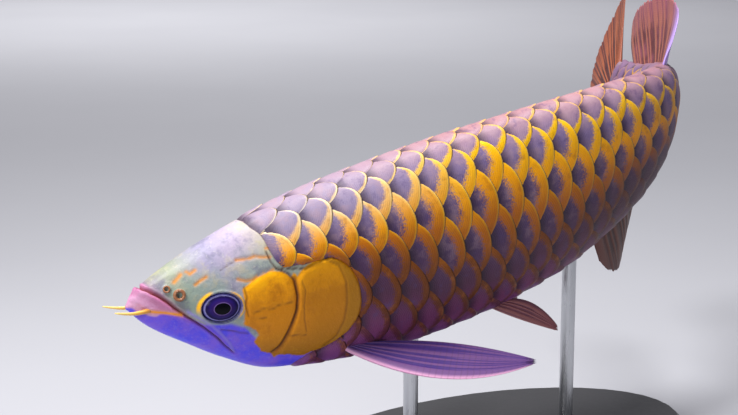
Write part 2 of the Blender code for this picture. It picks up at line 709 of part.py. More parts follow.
def rod_pieces(collection, pose, margin=0.0):
    """The stand's rods, or the room for their ends when a margin is given, in the fish's axes."""
    rods = []
    back = pose.inverted()
    for n, s in enumerate(ROD_STATIONS):
        belly = pose @ skin(s, math.radians(-90.0))
        up = Vector((0.0, 0.0, 1.0))
        foot = Vector((belly.x, belly.y, BASE_THICKNESS + GAP))
        top = belly.z + ROD_SOCKET
        if margin > 0.0:
            rod = peg("rod_room_%d" % n, collection, Vector((belly.x, belly.y, belly.z - 0.03)), up,
                      top + margin - belly.z + 0.03, ROD_RADIUS + margin, ROD_SIDES)
            rod.data.transform(back)
        else:
            rod = peg("stand_rod_%s" % ("front", "rear")[n], collection, foot, up, top - foot.z,
                      ROD_RADIUS, ROD_SIDES)
        rods.append(rod)
    return rods


def build_stand(collection, pose):
    made = {}
    for rod in rod_pieces(collection, pose):
        made[rod.name] = rod
    feet = [pose @ skin(s, math.radians(-90.0)) for s in ROD_STATIONS]
    middle = (feet[0] + feet[1]) / 2.0
    run = feet[1] - feet[0]
    bpy.ops.mesh.primitive_cylinder_add(vertices=40, radius=0.5, depth=BASE_THICKNESS)
    base = bpy.context.object
    base.name = "stand_base"
    base.data.transform(Matrix.Diagonal((BASE_LENGTH, BASE_WIDTH, 1.0, 1.0)))
    base.data.transform(Matrix.Rotation(math.atan2(run.y, run.x), 4, "Z"))
    base.location = (middle.x, middle.y, BASE_THICKNESS / 2.0)
    for owner in list(base.users_collection):
        owner.objects.unlink(base)
    collection.objects.link(base)
    bevel = base.modifiers.new("edge", "BEVEL")
    bevel.width = BASE_EDGE
    bevel.segments = 1
    bevel.limit_method = "ANGLE"
    made["stand_base"] = base
    return made


def main():
    for thing in list(bpy.data.objects):
        bpy.data.objects.remove(thing)
    collection = bpy.data.collections.new("asian_arowana")
    bpy.context.scene.collection.children.link(collection)
    turned = Matrix.Rotation(TURN, 4, "Z") @ Matrix.Rotation(-NOSE_DOWN, 4, "Y")
    turned = turned @ Matrix.Rotation(ROLL, 4, "X")
    pose = Matrix.Translation(SNOUT_PLACE) @ turned
    fish = build_fish(collection, pose)
    stand = build_stand(collection, pose)
    holder = bpy.data.objects.new("pose", None)
    holder.matrix_world = pose
    collection.objects.link(holder)
    for thing in fish.values():
        thing.parent = holder
    looks = {"head": "head", "lower_jaw": "jaw", "eye": "eye", "barbel": "barbel", "stand_base": "stand",
             "stand_rod": "rod"}
    for name, thing in list(fish.items()) + list(stand.items()):
        colour = "fin" if "fin" in name else "gold"
        for start, look in looks.items():
            if name.startswith(start):
                colour = look
        paint(thing, colour, 0.15 if "eye" in name else 0.4, 0.9 if "rod" in name else 0.0)


main()
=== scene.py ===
"""Asian arowana as a life-size still model: skin, scales, eyes, barbels, fins and display stand."""

import math

import bmesh
import bpy
import numpy as np
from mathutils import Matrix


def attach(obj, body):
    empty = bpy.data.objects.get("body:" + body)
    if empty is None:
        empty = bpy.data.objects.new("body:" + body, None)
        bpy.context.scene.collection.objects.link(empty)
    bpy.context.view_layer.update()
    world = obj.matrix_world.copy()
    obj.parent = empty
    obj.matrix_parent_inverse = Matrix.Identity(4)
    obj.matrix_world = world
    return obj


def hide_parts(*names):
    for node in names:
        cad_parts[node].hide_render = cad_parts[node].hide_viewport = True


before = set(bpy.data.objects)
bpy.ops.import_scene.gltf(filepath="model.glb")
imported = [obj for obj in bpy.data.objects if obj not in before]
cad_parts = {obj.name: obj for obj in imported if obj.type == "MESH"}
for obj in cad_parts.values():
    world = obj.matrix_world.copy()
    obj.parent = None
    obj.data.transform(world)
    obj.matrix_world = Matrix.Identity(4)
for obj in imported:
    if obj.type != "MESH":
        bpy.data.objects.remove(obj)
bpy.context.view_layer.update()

# Size in metres, the outline in shares of the length and the pose in degrees, as in the solids
STANDARD_LENGTH = 0.44
TURN = 30.2
NOSE_DOWN = 13.7
ROLL = -2.1
SNOUT_PLACE = np.array((-0.1382, -0.1568, 0.112))
BEND_AT = (-0.05, 0.15, 0.40, 0.50, 0.60, 0.70, 0.80, 0.90, 1.00, 1.20)
BEND_DEGREES = (0.0, 0.0, -2.8, -2.4, 2.0, 9.0, 46.0, 74.0, 66.0, 60.0)
TWIST_AT = (0.12, 0.50, 0.90, 1.20)
TWIST_DEGREES = (0.0, 11.0, 24.0, 24.0)
BACK_AT = (-0.024, -0.012, 0.0, 0.03, 0.08, 0.15, 0.25, 0.40, 0.55, 0.68, 0.76, 0.84, 0.91, 1.0)
BACK_HEIGHT = (0.044, 0.053, 0.059, 0.069, 0.081, 0.092, 0.100,
               0.103, 0.100, 0.093, 0.085, 0.068, 0.053, 0.046)
BELLY_AT = (-0.024, -0.012, 0.0, 0.03, 0.07, 0.12, 0.18, 0.25, 0.35, 0.45, 0.56, 0.66, 0.76, 0.86,
            0.93, 1.0)
BELLY_HEIGHT = (0.036, 0.017, 0.003, -0.025, -0.060, -0.094, -0.112, -0.128, -0.143,
                -0.147, -0.141, -0.121, -0.088, -0.054, -0.036, -0.035)
WIDTH_AT = (-0.024, -0.012, 0.0, 0.03, 0.08, 0.13, 0.20, 0.30, 0.45, 0.60, 0.75, 0.85, 0.95, 1.0)
HALF_WIDTH = (0.004, 0.011, 0.017, 0.027, 0.038, 0.045, 0.051,
              0.054, 0.053, 0.047, 0.036, 0.026, 0.016, 0.012)
SIDE_ROUNDNESS = 0.9
BACK_ROUNDNESS = 0.95

# Scales: height of each row in degrees at three stations, then the stations of the rear tips
ROW_AT = (0.20, 0.45, 0.75)
ROW_DEGREES = ((90.0, 90.0, 90.0), (72.0, 70.0, 64.0), (55.0, 47.0, 32.0), (30.0, 21.0, 8.0),
               (14.0, -3.0, -12.0), (-3.0, -24.0, -31.0), (-24.0, -45.0, -50.0), (-54.0, -68.0, -70.0),
               (-90.0, -90.0, -90.0))
FIRST_TIP = 0.200
FIRST_PITCH = 0.0413
LAST_PITCH = 0.0303
SCALE_COLUMNS = 44
LAST_TIP = 1.005

# Plates of the scales: outline in shares of a pitch or a row, then the grid, then lifts in metres
SCALE_REACH = 1.30
SCALE_WIDTH = 1.12
SCALE_ROUND = 0.95
SCALE_SQUARENESS = 1.75
SCALE_STEPS_ACROSS = 15
SCALE_STEPS_ALONG = 9
SCALE_BUNCHING = 1.4
NEAR_SIDE = 0.999
NEAR_TIP = 0.998
SIDE_ROUNDING = 4.0
END_ROUNDING = 6.0
SCALE_LIFT = 0.0014
SCALE_THICKNESS = 0.00045
SCALE_SINK = 0.0004
SCALE_CROWN = 0.0005
SCALE_RIM_DROP = 0.0004
SCALE_RIM_FROM = 0.84
SCALE_UNEVEN = 0.00012
HEAD_COVER = 0.0028

# In shares of the length: steps between tips from flat to full lift, fade at the head, half a baked spot
FLAT_STEP = 0.002
FULL_STEP = 0.019
HEAD_COVER_FADE = 0.003
BAKE_SPOT = 0.0015

# Where the scales begin behind the head, by height in degrees
BORDER_HEIGHTS = (-90, -70, -55, -47, -41, -34, -25, -13, -3, 5, 13, 17, 19, 22, 30, 37, 52, 67, 90)
BORDER_STATIONS = (0.150, 0.152, 0.166, 0.186, 0.206, 0.224, 0.238, 0.247, 0.248, 0.243, 0.233, 0.220,
                   0.186, 0.158, 0.152, 0.150, 0.148, 0.141, 0.138)

# Head: lines and plates as (station, height in degrees), the fine ones with a width and a depth in mm
MOUTH = ((-0.004, 90), (-0.002, 64), (0.005, 39), (0.014, 19), (0.023, 2), (0.034, -10), (0.050, -23),
         (0.062, -34), (0.070, -45), (0.078, -53))
MAXILLA = ((0.036, -3), (0.047, -11), (0.058, -18), (0.067, -28), (0.074, -38), (0.078, -50))
CHEEK_PLATE = ((0.106, 13), (0.124, 18), (0.140, 20), (0.155, 17), (0.163, 11), (0.164, 0), (0.159, -9),
               (0.151, -17), (0.141, -27), (0.131, -37), (0.121, -43), (0.112, -42), (0.106, -32),
               (0.113, -25), (0.106, -19), (0.097, -14), (0.102, -4), (0.105, 6))
COVER_PLATE = ((0.171, 10), (0.168, 0), (0.163, -9), (0.155, -18), (0.145, -28), (0.135, -38), (0.131, -45),
               (0.158, -50), (0.184, -47), (0.204, -41), (0.222, -34), (0.236, -25), (0.245, -13),
               (0.246, -3), (0.241, 5), (0.231, 13), (0.218, 18), (0.197, 17), (0.180, 14))
COVER_RIM_LINE = ((0.212, 17), (0.226, 11), (0.230, 1), (0.226, -11), (0.219, -23), (0.205, -36),
                  (0.186, -44))
DARK_LINES = (
    (((0.145, 37), (0.146, 28), (0.150, 22), (0.166, 19), (0.183, 16), (0.196, 16), (0.206, 16)),
     0.55, 0.6),
    (((0.150, 22), (0.162, 16), (0.167, 10), (0.166, 0), (0.161, -9), (0.153, -17), (0.143, -27),
      (0.133, -37), (0.122, -44)), 0.75, 0.9),
    (((0.108, -5), (0.121, -3), (0.133, -4), (0.145, -2), (0.157, -3)), 0.45, 0.25),
    (((0.103, -9), (0.111, -9), (0.122, -10)), 0.35, 0.25),
    (((0.106, 15), (0.106, 7), (0.102, 2), (0.102, -7)), 0.45, 0.4),
    (((0.068, -22), (0.079, -22), (0.088, -23), (0.097, -23)), 0.5, 0.4),
    (((0.144, -27), (0.155, -28), (0.166, -29)), 0.4, 0.3),
    (((0.175, 8), (0.176, 2), (0.170, -7), (0.167, -17), (0.167, -26)), 0.35, 0.25),
    (((0.138, 90), (0.141, 67), (0.146, 59), (0.148, 52), (0.150, 44), (0.150, 37)), 0.45, 0.4),
    (((0.086, 36), (0.097, 38), (0.108, 40)), 0.35, 0.2),
)
LOWER_LIP = ((-0.024, 90), (-0.002, 90), (-0.002, 64), (0.005, 39), (0.014, 19), (0.023, 2),
             (0.030, -6), (0.022, -8), (0.008, -6), (-0.004, -4), (-0.013, 6), (-0.019, 47))
GUM_LINE = ((-0.006, -3), (0.006, -4), (0.018, -5), (0.028, -7))
JAW_TOP = ((-0.030, 95), (-0.004, 90), (0.005, 39), (0.014, 19), (0.023, 2), (0.034, -10),
           (0.050, -16), (0.062, -15), (0.080, -13), (0.095, -16), (0.112, -34), (0.130, -44),
           (0.158, -49), (0.182, -47), (0.204, -42), (0.225, -36), (0.250, -30))
CANAL_LINES = (
    (((0.146, 40), (0.158, 39), (0.167, 34), (0.174, 31)), 0.8, 0.35),
    (((0.108, 40), (0.122, 37), (0.130, 37), (0.138, 34), (0.147, 32)), 0.9, 0.4),
    (((0.102, 23), (0.110, 20), (0.118, 19), (0.126, 21), (0.135, 22), (0.146, 22)), 0.9, 0.4),
    (((0.053, 29), (0.060, 32), (0.068, 34)), 0.9, 0.3),
    (((0.032, 43), (0.042, 50)), 1.2, 0.2),
    (((0.049, 50), (0.052, 45), (0.059, 47)), 1.0, 0.2),
)
EYE_AT = 0.074
EYE_HEIGHT = 0.5
EYE_RADIUS = 0.0104
EYE_FLATNESS = 0.73
EYE_DEPTH = 0.0050
EYE_PROUD = 0.0022
NOSTRILS = ((0.021, 36.0, 0.0015, 0.0005), (0.032, 21.0, 0.0024, 0.0009))
NOSTRIL_RISE = 0.0006
BARBEL_LENGTH = 0.021
BARBEL_ROOT = 0.0022
BARBEL_FOOT = (-0.006, 0.0)
BARBEL_RISE = 18.0
BARBEL_SPLAY = 8.0
BARBEL_BOW = 0.0012
BARBEL_RADIUS = 0.0014
BARBEL_TIP_RADIUS = 0.0004

# Stations between which the marks of the mouth end, and between which its front gives way to its side
MOUTH_ENDS = (0.078, 0.084)
FRONT_ENDS = (0.010, 0.055)

# Relief of the head in mm. A slope says how far inside an edge the rise starts and ends; any other pair
# is the measure at the side of the mouth and what the front adds to it
CHEEK_RISE = 0.50
CHEEK_SLOPE = (-1.2, 1.6)
COVER_RISE = 1.0
COVER_SLOPE = (-0.6, 0.8)
RIM_GROOVE = 0.35
RIM_WIDTH = 0.8
MOUTH_DEPTH = (1.3, 0.5)
MOUTH_WIDTH = (0.5, 0.35)
UPPER_LIP_RISE = 0.6
UPPER_LIP_AWAY = 1.4
UPPER_LIP_WIDTH = 0.8
LOWER_LIP_RISE = (0.30, 0.75)
LOWER_LIP_AWAY = (1.9, 0.5)
LOWER_LIP_WIDTH = (1.1, 0.5)
LIP_PAD_RISE = 0.7
LIP_PAD_SLOPE = (-0.4, 1.6)
MAXILLA_RISE = 0.35
MAXILLA_WIDTH = 0.9
EYE_RIM_RISE = 0.75
EYE_RIM_WIDTH = 0.9
SOCKET_DEPTH = 5.5
SOCKET_SLOPE = (-0.3, 0.35)
NOSTRIL_SWELL = 0.5
NOSTRIL_SWELL_WIDTH = 0.7
NOSTRIL_PIT = 1.2
NOSTRIL_PIT_SHARE = 0.55
UNDER_SCALES = 0.9

# Fins, in shares of the length and degrees, with thicknesses in metres
FOOT_DEPTH = 0.0030
FOOT_WAY = (0.6, 0.8)
DORSAL_BASE = (0.785, 0.940)
DORSAL_HEIGHT = ((0.0, 0.036), (0.06, 0.062), (0.15, 0.080), (0.28, 0.094), (0.42, 0.101), (0.6, 0.103),
                 (0.76, 0.101), (0.88, 0.093), (0.95, 0.082), (1.0, 0.066))
DORSAL_LEAN = (10.0, 50.0)
ANAL_BASE = (0.645, 0.918)
ANAL_HEIGHT = ((0.0, 0.050), (0.05, 0.084), (0.12, 0.108), (0.21, 0.117), (0.35, 0.111), (0.55, 0.099),
               (0.75, 0.089), (0.88, 0.081), (0.95, 0.073), (1.0, 0.060))
ANAL_LEAN = (18.0, 62.0)
TAIL_LENGTH = 0.150
TAIL_FAN = 34.0
TAIL_TURN = 24.0
PECTORAL_LEADING = ((0.032, 0.216, -0.102), (0.134, 0.282, -0.167), (0.120, 0.443, -0.180))
PECTORAL_TRAILING = ((0.034, 0.242, -0.104), (0.044, 0.358, -0.135), (0.116, 0.446, -0.178))
PELVIC_LEADING = ((0.013, 0.446, -0.1445), (0.030, 0.480, -0.172), (0.050, 0.530, -0.201))
PELVIC_TRAILING = ((0.017, 0.478, -0.1430), (0.024, 0.515, -0.152), (0.046, 0.533, -0.196))
TAIL_ROOT_SHARE = 0.86
TAIL_SIDE_SHARE = 0.80
TAIL_ROUNDNESS = 0.6
TAIL_RIPPLE = 0.002

# Blades of the fins: grid, share in the body, where forks and notches grow, then thickness and taper
FIN_STEPS = 44
FIN_FOOT = 0.06
FORKS = (0.35, 0.7)
NOTCHES = (0.5, 1.0)
NOTCH = 0.05
FORK_NOTCH = 0.9
FORK_RISE = 0.7
FIN_EDGE = 0.0005
WEB_TAPER = 1.3
WEB_SHARE = 0.7
RAY_RISE = 0.00055
RAY_TAPER = 0.65
FIN_SIDE_ROUNDING = 2.5
FIN_END_ROUNDING = 30.0
OFF_WEB = 0.001

# Fins on the middle line: base, heights, lean, whether on the back, ripple, rays, thickness at the root
MEDIAN_FINS = (
    ("dorsal", (DORSAL_BASE, DORSAL_HEIGHT, DORSAL_LEAN, True, 0.002), 15, 0.0022),
    ("anal", (ANAL_BASE, ANAL_HEIGHT, ANAL_LEAN, False, 0.0015), 26, 0.0022),
)
TAIL_RAYS = 14
TAIL_ROOT = 0.0030

# Fins in pairs: leading and trailing edge, rays, thickness at the root, grid columns for each ray
PAIRED_FINS = (
    ("pectoral", PECTORAL_LEADING, PECTORAL_TRAILING, 7, 0.0034, 14),
    ("pelvic", PELVIC_LEADING, PELVIC_TRAILING, 6, 0.0026, 12),
)

# Colours of each fin: web, ray, edge and leading ray, and how far back the leading ray's colour goes
FIN_COLOURS = {
    "dorsal": ((0.095, 0.026, 0.028), (0.32, 0.112, 0.075), (0.31, 0.095, 0.14), (0.50, 0.34, 0.80),
               (0.05, 0.26)),
    "anal": ((0.040, 0.008, 0.006), (0.12, 0.028, 0.012), (0.070, 0.014, 0.012), (0.14, 0.040, 0.03),
             (0.0, 0.1)),
    "caudal": ((0.055, 0.010, 0.010), (0.40, 0.110, 0.040), (0.16, 0.034, 0.028), (0.30, 0.09, 0.05),
               (0.0, 0.1)),
    "pectoral": ((0.050, 0.022, 0.16), (0.15, 0.065, 0.20), (0.080, 0.035, 0.18), (0.60, 0.30, 0.48),
                 (0.02, 0.12)),
    "pelvic": ((0.13, 0.040, 0.070), (0.30, 0.11, 0.11), (0.24, 0.075, 0.09), (0.40, 0.17, 0.17),
               (0.0, 0.1)),
}
JOINT_BROWN = (0.05, 0.02, 0.02)

# Studio: name, place, what it faces, size and watts of each lamp, then the camera
LAMPS = (
    ("key", (-0.45, -0.42, 1.10), (0.0, 0.0, 0.12), 0.4, 14.0),
    ("top", (0.10, 0.05, 1.20), (0.05, 0.0, 0.15), 0.35, 10.0),
    ("front", (-0.42, -0.75, 0.42), (-0.13, -0.16, 0.11), 0.20, 1.6),
    ("back", (-0.6, 2.6, 1.6), (0.0, 3.5, 0.0), 1.6, 45.0),
)
FLOOR_HALF = 6.0
ROOM_COLOUR = (0.80, 0.80, 0.88, 1.0)
ROOM_STRENGTH = 0.36
CAMERA_PLACE = (-0.0285, -0.9750, 0.3510)
CAMERA_TILT = 78.0
LENS = 81.0
SENSOR_WIDTH = 36.0

# Nodes that the skin stands for, and the rows and seeds of the scales on each side
FLESH = ("head", "lower_jaw", "gill_cover_left", "gill_cover_right", "body_front", "body_middle",
         "body_rear", "tail_stalk")
LEFT_ROWS = range(0, 9)
RIGHT_ROWS = range(1, 8)
LEFT_SEED = 3
RIGHT_SEED = 5


def smooth_curve(stations, values):
    """Function that runs smoothly through the values, on arrays, and never overshoots them."""
    x = np.array(stations, float)
    y = np.array(values, float)
    step = np.diff(x)
    slope = np.diff(y) / step
    tangent = np.zeros(len(x))
    tangent[0] = slope[0]
    tangent[-1] = slope[-1]
    for i in range(1, len(x) - 1):
        if slope[i - 1] * slope[i] > 0.0:
            tangent[i] = 2.0 * slope[i - 1] * slope[i] / (slope[i - 1] + slope[i])

    def value_at(place):
        place = np.clip(place, x[0], x[-1])
        i = np.clip(np.searchsorted(x, place, side="right") - 1, 0, len(x) - 2)
        u = (place - x[i]) / step[i]
        start = (1.0 + 2.0 * u) * (1.0 - u) ** 2 * y[i] + u * (1.0 - u) ** 2 * step[i] * tangent[i]
        end = u * u * (3.0 - 2.0 * u) * y[i + 1] + u * u * (u - 1.0) * step[i] * tangent[i + 1]
        return start + end

    return value_at


back_height = smooth_curve(BACK_AT, BACK_HEIGHT)
belly_height = smooth_curve(BELLY_AT, BELLY_HEIGHT)
half_width = smooth_curve(WIDTH_AT, HALF_WIDTH)
bend = smooth_curve(BEND_AT, BEND_DEGREES)
twist = smooth_curve(TWIST_AT, TWIST_DEGREES)
row_curves = [smooth_curve(ROW_AT, angles) for angles in ROW_DEGREES]
scale_border = smooth_curve(BORDER_HEIGHTS, BORDER_STATIONS)


def ramp(value, low, high):
    """Smooth step from 0 at low to 1 at high."""
    t = np.clip((value - low) / (high - low), 0.0, 1.0)
    return t * t * (3.0 - 2.0 * t)


def spine_table():
    """Stations along the spine, with how far along and how far aside the bent spine runs at each."""
    stations = np.linspace(BEND_AT[0], BEND_AT[-1], 500)
    headings = np.radians(bend(stations))
    step = (stations[1] - stations[0]) * STANDARD_LENGTH
    middles = (headings[1:] + headings[:-1]) / 2.0
    along = np.concatenate([[0.0], np.cumsum(np.cos(middles) * step)])
    aside = np.concatenate([[0.0], np.cumsum(np.sin(middles) * step)])
    return stations, along + stations[0] * STANDARD_LENGTH, aside


def turn_about(axis, degrees):
    """Matrix of a turn about one axis."""
    c = math.cos(math.radians(degrees))
    s = math.sin(math.radians(degrees))
    turns = {"X": ((1, 0, 0), (0, c, -s), (0, s, c)), "Y": ((c, 0, s), (0, 1, 0), (-s, 0, c)),
             "Z": ((c, -s, 0), (s, c, 0), (0, 0, 1))}
    return np.array(turns[axis], float)


SPINE = spine_table()
POSE = turn_about("Z", TURN) @ turn_about("Y", -NOSE_DOWN) @ turn_about("X", ROLL)


def in_pose(local):
    """Points in the fish's own axes, put where the posed fish has them."""
    return local @ POSE.T + SNOUT_PLACE


def section(s, out, up):
    """Points of the cross-section at s, so far out to the left and so far up from the spine."""
    x = np.interp(s, SPINE[0], SPINE[1])
    y = np.interp(s, SPINE[0], SPINE[2])
    heading = np.radians(bend(s))
    roll = np.radians(twist(s))
    aside = out * np.cos(roll) + up * np.sin(roll)
    rise = up * np.cos(roll) - out * np.sin(roll)
    local = np.stack([x + aside * np.sin(heading), y - aside * np.cos(heading), rise + 0.0 * x], axis=-1)
    return in_pose(local)


def skin_at(s, degrees, lift=0.0, shrink=1.0):
    """Points of the skin: height 0 is the left side, 90 the back and 180 the right side."""
    top = back_height(s) * STANDARD_LENGTH
    bottom = belly_height(s) * STANDARD_LENGTH
    wide = half_width(s) * STANDARD_LENGTH + lift
    deep = (top - bottom) / 2.0 + lift
    c = np.cos(np.radians(degrees))
    d = np.sin(np.radians(degrees))
    out = wide * np.sign(c) * np.abs(c) ** SIDE_ROUNDNESS * shrink
    up = (top + bottom) / 2.0 + deep * np.sign(d) * np.abs(d) ** BACK_ROUNDNESS * shrink
    return section(s, out, up)


def skin_axis(s, degrees):
    """One point of the skin and the direction that faces out of it."""
    ahead, behind = (skin_at(np.array(s + step), np.array(degrees)) for step in (0.004, -0.004))
    above, below = (skin_at(np.array(s), np.array(degrees + turn)) for turn in (1.5, -1.5))
    out = np.cross(ahead - behind, above - below)
    return skin_at(np.array(s), np.array(degrees)), out / np.linalg.norm(out)


def side_degrees(height, side):
    """Angle round the body of a height on the left side, 1, or the right side, -1."""
    return height if side > 0 else 180.0 - height


def folded(degrees):
    """The same height on both sides: 90 at the back, 0 at the middle of a side, -90 at the belly."""
    wrapped = (degrees + 90.0) % 360.0 - 90.0
    return np.where(wrapped > 90.0, 180.0 - wrapped, wrapped)


def line_distance(s, h, points):
    """Distance in mm over the skin from each place to a line of (station, height) points."""
    deep = (back_height(s) - belly_height(s)) / 2.0 * STANDARD_LENGTH * 1000.0
    wide = half_width(s) * STANDARD_LENGTH * 1000.0
    per_degree = np.radians(np.hypot(deep * np.cos(np.radians(h)), wide * np.sin(np.radians(h))))
    best = np.full(s.shape, 1e9)
    for (s0, h0), (s1, h1) in zip(points, points[1:]):
        ax = (s0 - s) * STANDARD_LENGTH * 1000.0
        ay = (h0 - h) * per_degree
        bx = (s1 - s) * STANDARD_LENGTH * 1000.0
        by = (h1 - h) * per_degree
        dx = bx - ax
        dy = by - ay
        t = np.clip(-(ax * dx + ay * dy) / np.maximum(dx * dx + dy * dy, 1e-9), 0.0, 1.0)
        best = np.minimum(best, np.hypot(ax + dx * t, ay + dy * t))
    return best


def inside_plate(s, h, points):
    """Distance in mm to the edge of a plate of the head, positive inside it."""
    closed = points + points[:1]
    inside = np.zeros(s.shape, bool)
    for (s0, h0), (s1, h1) in zip(closed, closed[1:]):
        crosses = (h0 > h) != (h1 > h)
        edge = s0 + (s1 - s0) * (h - h0) / (h1 - h0 if h1 != h0 else 1e-9)
        inside ^= crosses & (s < edge)
    return line_distance(s, h, closed) * np.where(inside, 1.0, -1.0)


def bump_line(distance, width):
    """Soft ridge of height 1 on a line, of the given width."""
    return np.exp(-(distance / width) ** 2)


def shaped(name, columns, rows, place, fields=None, bake=None, count=1):
    """Grid, or many grids in one mesh, bent by place(u, v, item) with values stored on its points."""
    bm = bmesh.new()
    for _ in range(count):
        bmesh.ops.create_grid(bm, x_segments=columns, y_segments=rows, size=0.5)
    mesh = bpy.data.meshes.new(name)
    bm.to_mesh(mesh)
    bm.free()
    flat = np.empty(len(mesh.vertices) * 3, np.float32)
    mesh.vertices.foreach_get("co", flat)
    u = flat[0::3].astype(float) + 0.5
    v = flat[1::3].astype(float) + 0.5
    item = np.arange(len(u)) // (len(u) // count)
    mesh.vertices.foreach_set("co", np.asarray(place(u, v, item), np.float32).ravel())
    for key, values in (fields(u, v, item) if fields else {}).items():
        layer = mesh.attributes.new(key, "FLOAT", "POINT")
        layer.data.foreach_set("value", np.asarray(values, np.float32))
    if bake:
        corner = np.empty(len(mesh.loops), np.int32)
        mesh.loops.foreach_get("vertex_index", corner)
        spread = np.stack(bake(u, v, item), axis=-1)[corner]
        mesh.uv_layers.new(name="OFBake").data.foreach_set("uv", spread.astype(np.float32).ravel())
    bm = bmesh.new()
    bm.from_mesh(mesh)
    bmesh.ops.remove_doubles(bm, verts=bm.verts, dist=2e-7)
    bmesh.ops.dissolve_degenerate(bm, edges=bm.edges, dist=1e-8)
    bmesh.ops.recalc_face_normals(bm, faces=bm.faces)
    for face in bm.faces:
        face.smooth = True
    bm.to_mesh(mesh)
    bm.free()
    piece = bpy.data.objects.new(name, mesh)
    bpy.context.scene.collection.objects.link(piece)
    return piece


def add_piece(piece, material, slot, *nodes):
    """Give a piece its material, and let it ride on the body and stand for its nodes; its slot is not used.
    """
    piece.data.materials.clear()
    piece.data.materials.append(material)
    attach(piece, "root")
    if nodes:
        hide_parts(*nodes)
    return piece


class Value:
    """Output of a node, with arithmetic that adds Math nodes."""

    def __init__(self, paint, socket):
        self.paint = paint
        self.socket = socket

    def __add__(self, other):
        return self.paint.maths("ADD", self, other)

    def __radd__(self, other):
        return self.paint.maths("ADD", other, self)

    def __sub__(self, other):
        return self.paint.maths("SUBTRACT", self, other)

    def __rsub__(self, other):
        return self.paint.maths("SUBTRACT", other, self)

    def __mul__(self, other):
        return self.paint.maths("MULTIPLY", self, other)

    def __rmul__(self, other):
        return self.paint.maths("MULTIPLY", other, self)

    def __truediv__(self, other):
        return self.paint.maths("DIVIDE", self, other)


class Paint:
    """Node material of one finish."""

    def __init__(self, name, roughness=0.4, metallic=0.0, coat=0.0, coat_roughness=0.1, specular=0.5):
        self.material = bpy.data.materials.new(name)
        self.material.use_nodes = True
        self.tree = self.material.node_tree
        self.shader = self.tree.nodes["Principled BSDF"]
        for key, value in (("Roughness", roughness), ("Metallic", metallic), ("Coat Weight", coat),
                           ("Coat Roughness", coat_roughness), ("Specular IOR Level", specular)):
            self.set(key, value)

    def node(self, kind, settings, inputs, output=0):
        """Add a node: its settings first, then its sockets by name or number."""
        made = self.tree.nodes.new(kind)
        for key, value in settings.items():
            if key == "stops":
                elements = made.color_ramp.elements
                while len(elements) < len(value):
                    elements.new(0.5)
                for element, (position, colour) in zip(elements, value):
                    element.position = position
                    element.color = (*colour, 1.0)
            else:
                setattr(made, key, value)
        for key, value in inputs.items():
            self.put(made.inputs[key], value)
        return Value(self, made.outputs[output])

    def put(self, socket, value):
        """Link a value to a socket, or set the socket to a number, a vector or a colour."""
        if isinstance(value, Value):
            self.tree.links.new(value.socket, socket)
        elif isinstance(value, tuple) and len(value) == 3 and len(socket.default_value) == 4:
            socket.default_value = (*value, 1.0)
        else:
            socket.default_value = value

    def set(self, key, value):
        self.put(self.shader.inputs[key], value)

    def maths(self, operation, *values):
        return self.node("ShaderNodeMath", {"operation": operation}, dict(enumerate(values)))

    def carried(self, name):
        """A value stored on the piece's points."""
        return self.node("ShaderNodeAttribute", {"attribute_name": name}, {}, 2)

    def coordinates(self):
        """Object coordinates, in metres."""
        return self.node("ShaderNodeTexCoord", {}, {}, 3)

    def noise(self, scale, detail=2.0, rough=0.5, where=None):
        place = self.coordinates() if where is None else where
        return self.node("ShaderNodeTexNoise", {}, {"Vector": place, "Scale": scale, "Detail": detail,
                                                    "Roughness": rough})

    def step(self, value, low, high):
        """Smooth step of a value from 0 at low to 1 at high."""
        return self.node("ShaderNodeMapRange", {"interpolation_type": "SMOOTHSTEP"},
                         {"Value": value, "From Min": low, "From Max": high})

    def mix(self, mask, first, second):
        return self.node("ShaderNodeMix", {"data_type": "RGBA"}, {0: mask, 6: first, 7: second}, 2)

    def colours(self, value, *stops):
        return self.node("ShaderNodeValToRGB", {"stops": stops}, {0: value})

    def bump(self, height, distance, strength=1.0):
        self.set("Normal", self.node("ShaderNodeBump", {}, {"Strength": strength, "Distance": distance,
                                                            "Height": height}))


# Skin

# Grid, share of it on the head and on each rounded end, then stations
SKIN_AROUND = 260
SKIN_ALONG = 366
HEAD_SHARE = 0.62
CAP_SHARE = 0.012
HEAD_START = -0.0225
HEAD_END = 0.262
FRONT_CAP = 0.0035
REAR_CAP = 0.012
EYE_NEIGHBOURHOOD = 0.03

# Colours: those with a place beside them run on a ramp
CROWN = ((0.0, (0.22, 0.19, 0.24)), (0.035, (0.30, 0.33, 0.24)), (0.075, (0.32, 0.29, 0.42)),
         (0.115, (0.44, 0.36, 0.48)), (0.150, (0.52, 0.46, 0.38)))
MINT = (0.25, 0.33, 0.27)
BRASS = (0.46, 0.42, 0.24)
SLATE = (0.17, 0.16, 0.24)
BONE = (0.62, 0.58, 0.50)
TRUNK = ((0.0, (0.13, 0.06, 0.30)), (0.30, (0.10, 0.045, 0.16)), (0.55, (0.14, 0.09, 0.16)),
         (1.0, (0.30, 0.19, 0.24)))
JAW_BLUE = (0.070, 0.060, 0.80)
JAW_VIOLET = (0.20, 0.10, 0.68)
JAW_FLECK = (0.34, 0.30, 0.72)
GOLD = ((0.0, (0.62, 0.22, 0.000)), (0.10, (0.88, 0.35, 0.000)), (0.25, (1.0, 0.47, 0.000)))
LOW_GOLD_AND_SHADE = (0.36, 0.14, 0.001)
REAR_GOLD = (0.42, 0.16, 0.000)
GOLD_FLECK = (0.95, 0.55, 0.02)
OLIVE = (0.34, 0.17, 0.006)
RUST = (0.34, 0.085, 0.001)
GAP_BROWN = (0.36, 0.11, 0.001)
CANAL_ORANGE = (0.70, 0.26, 0.035)
LIP_ROSE = (0.52, 0.19, 0.34)
LIP_PINK = (0.58, 0.33, 0.50)
LIP_WINE = (0.40, 0.13, 0.27)
MAXILLA_BLUE = (0.26, 0.20, 0.62)
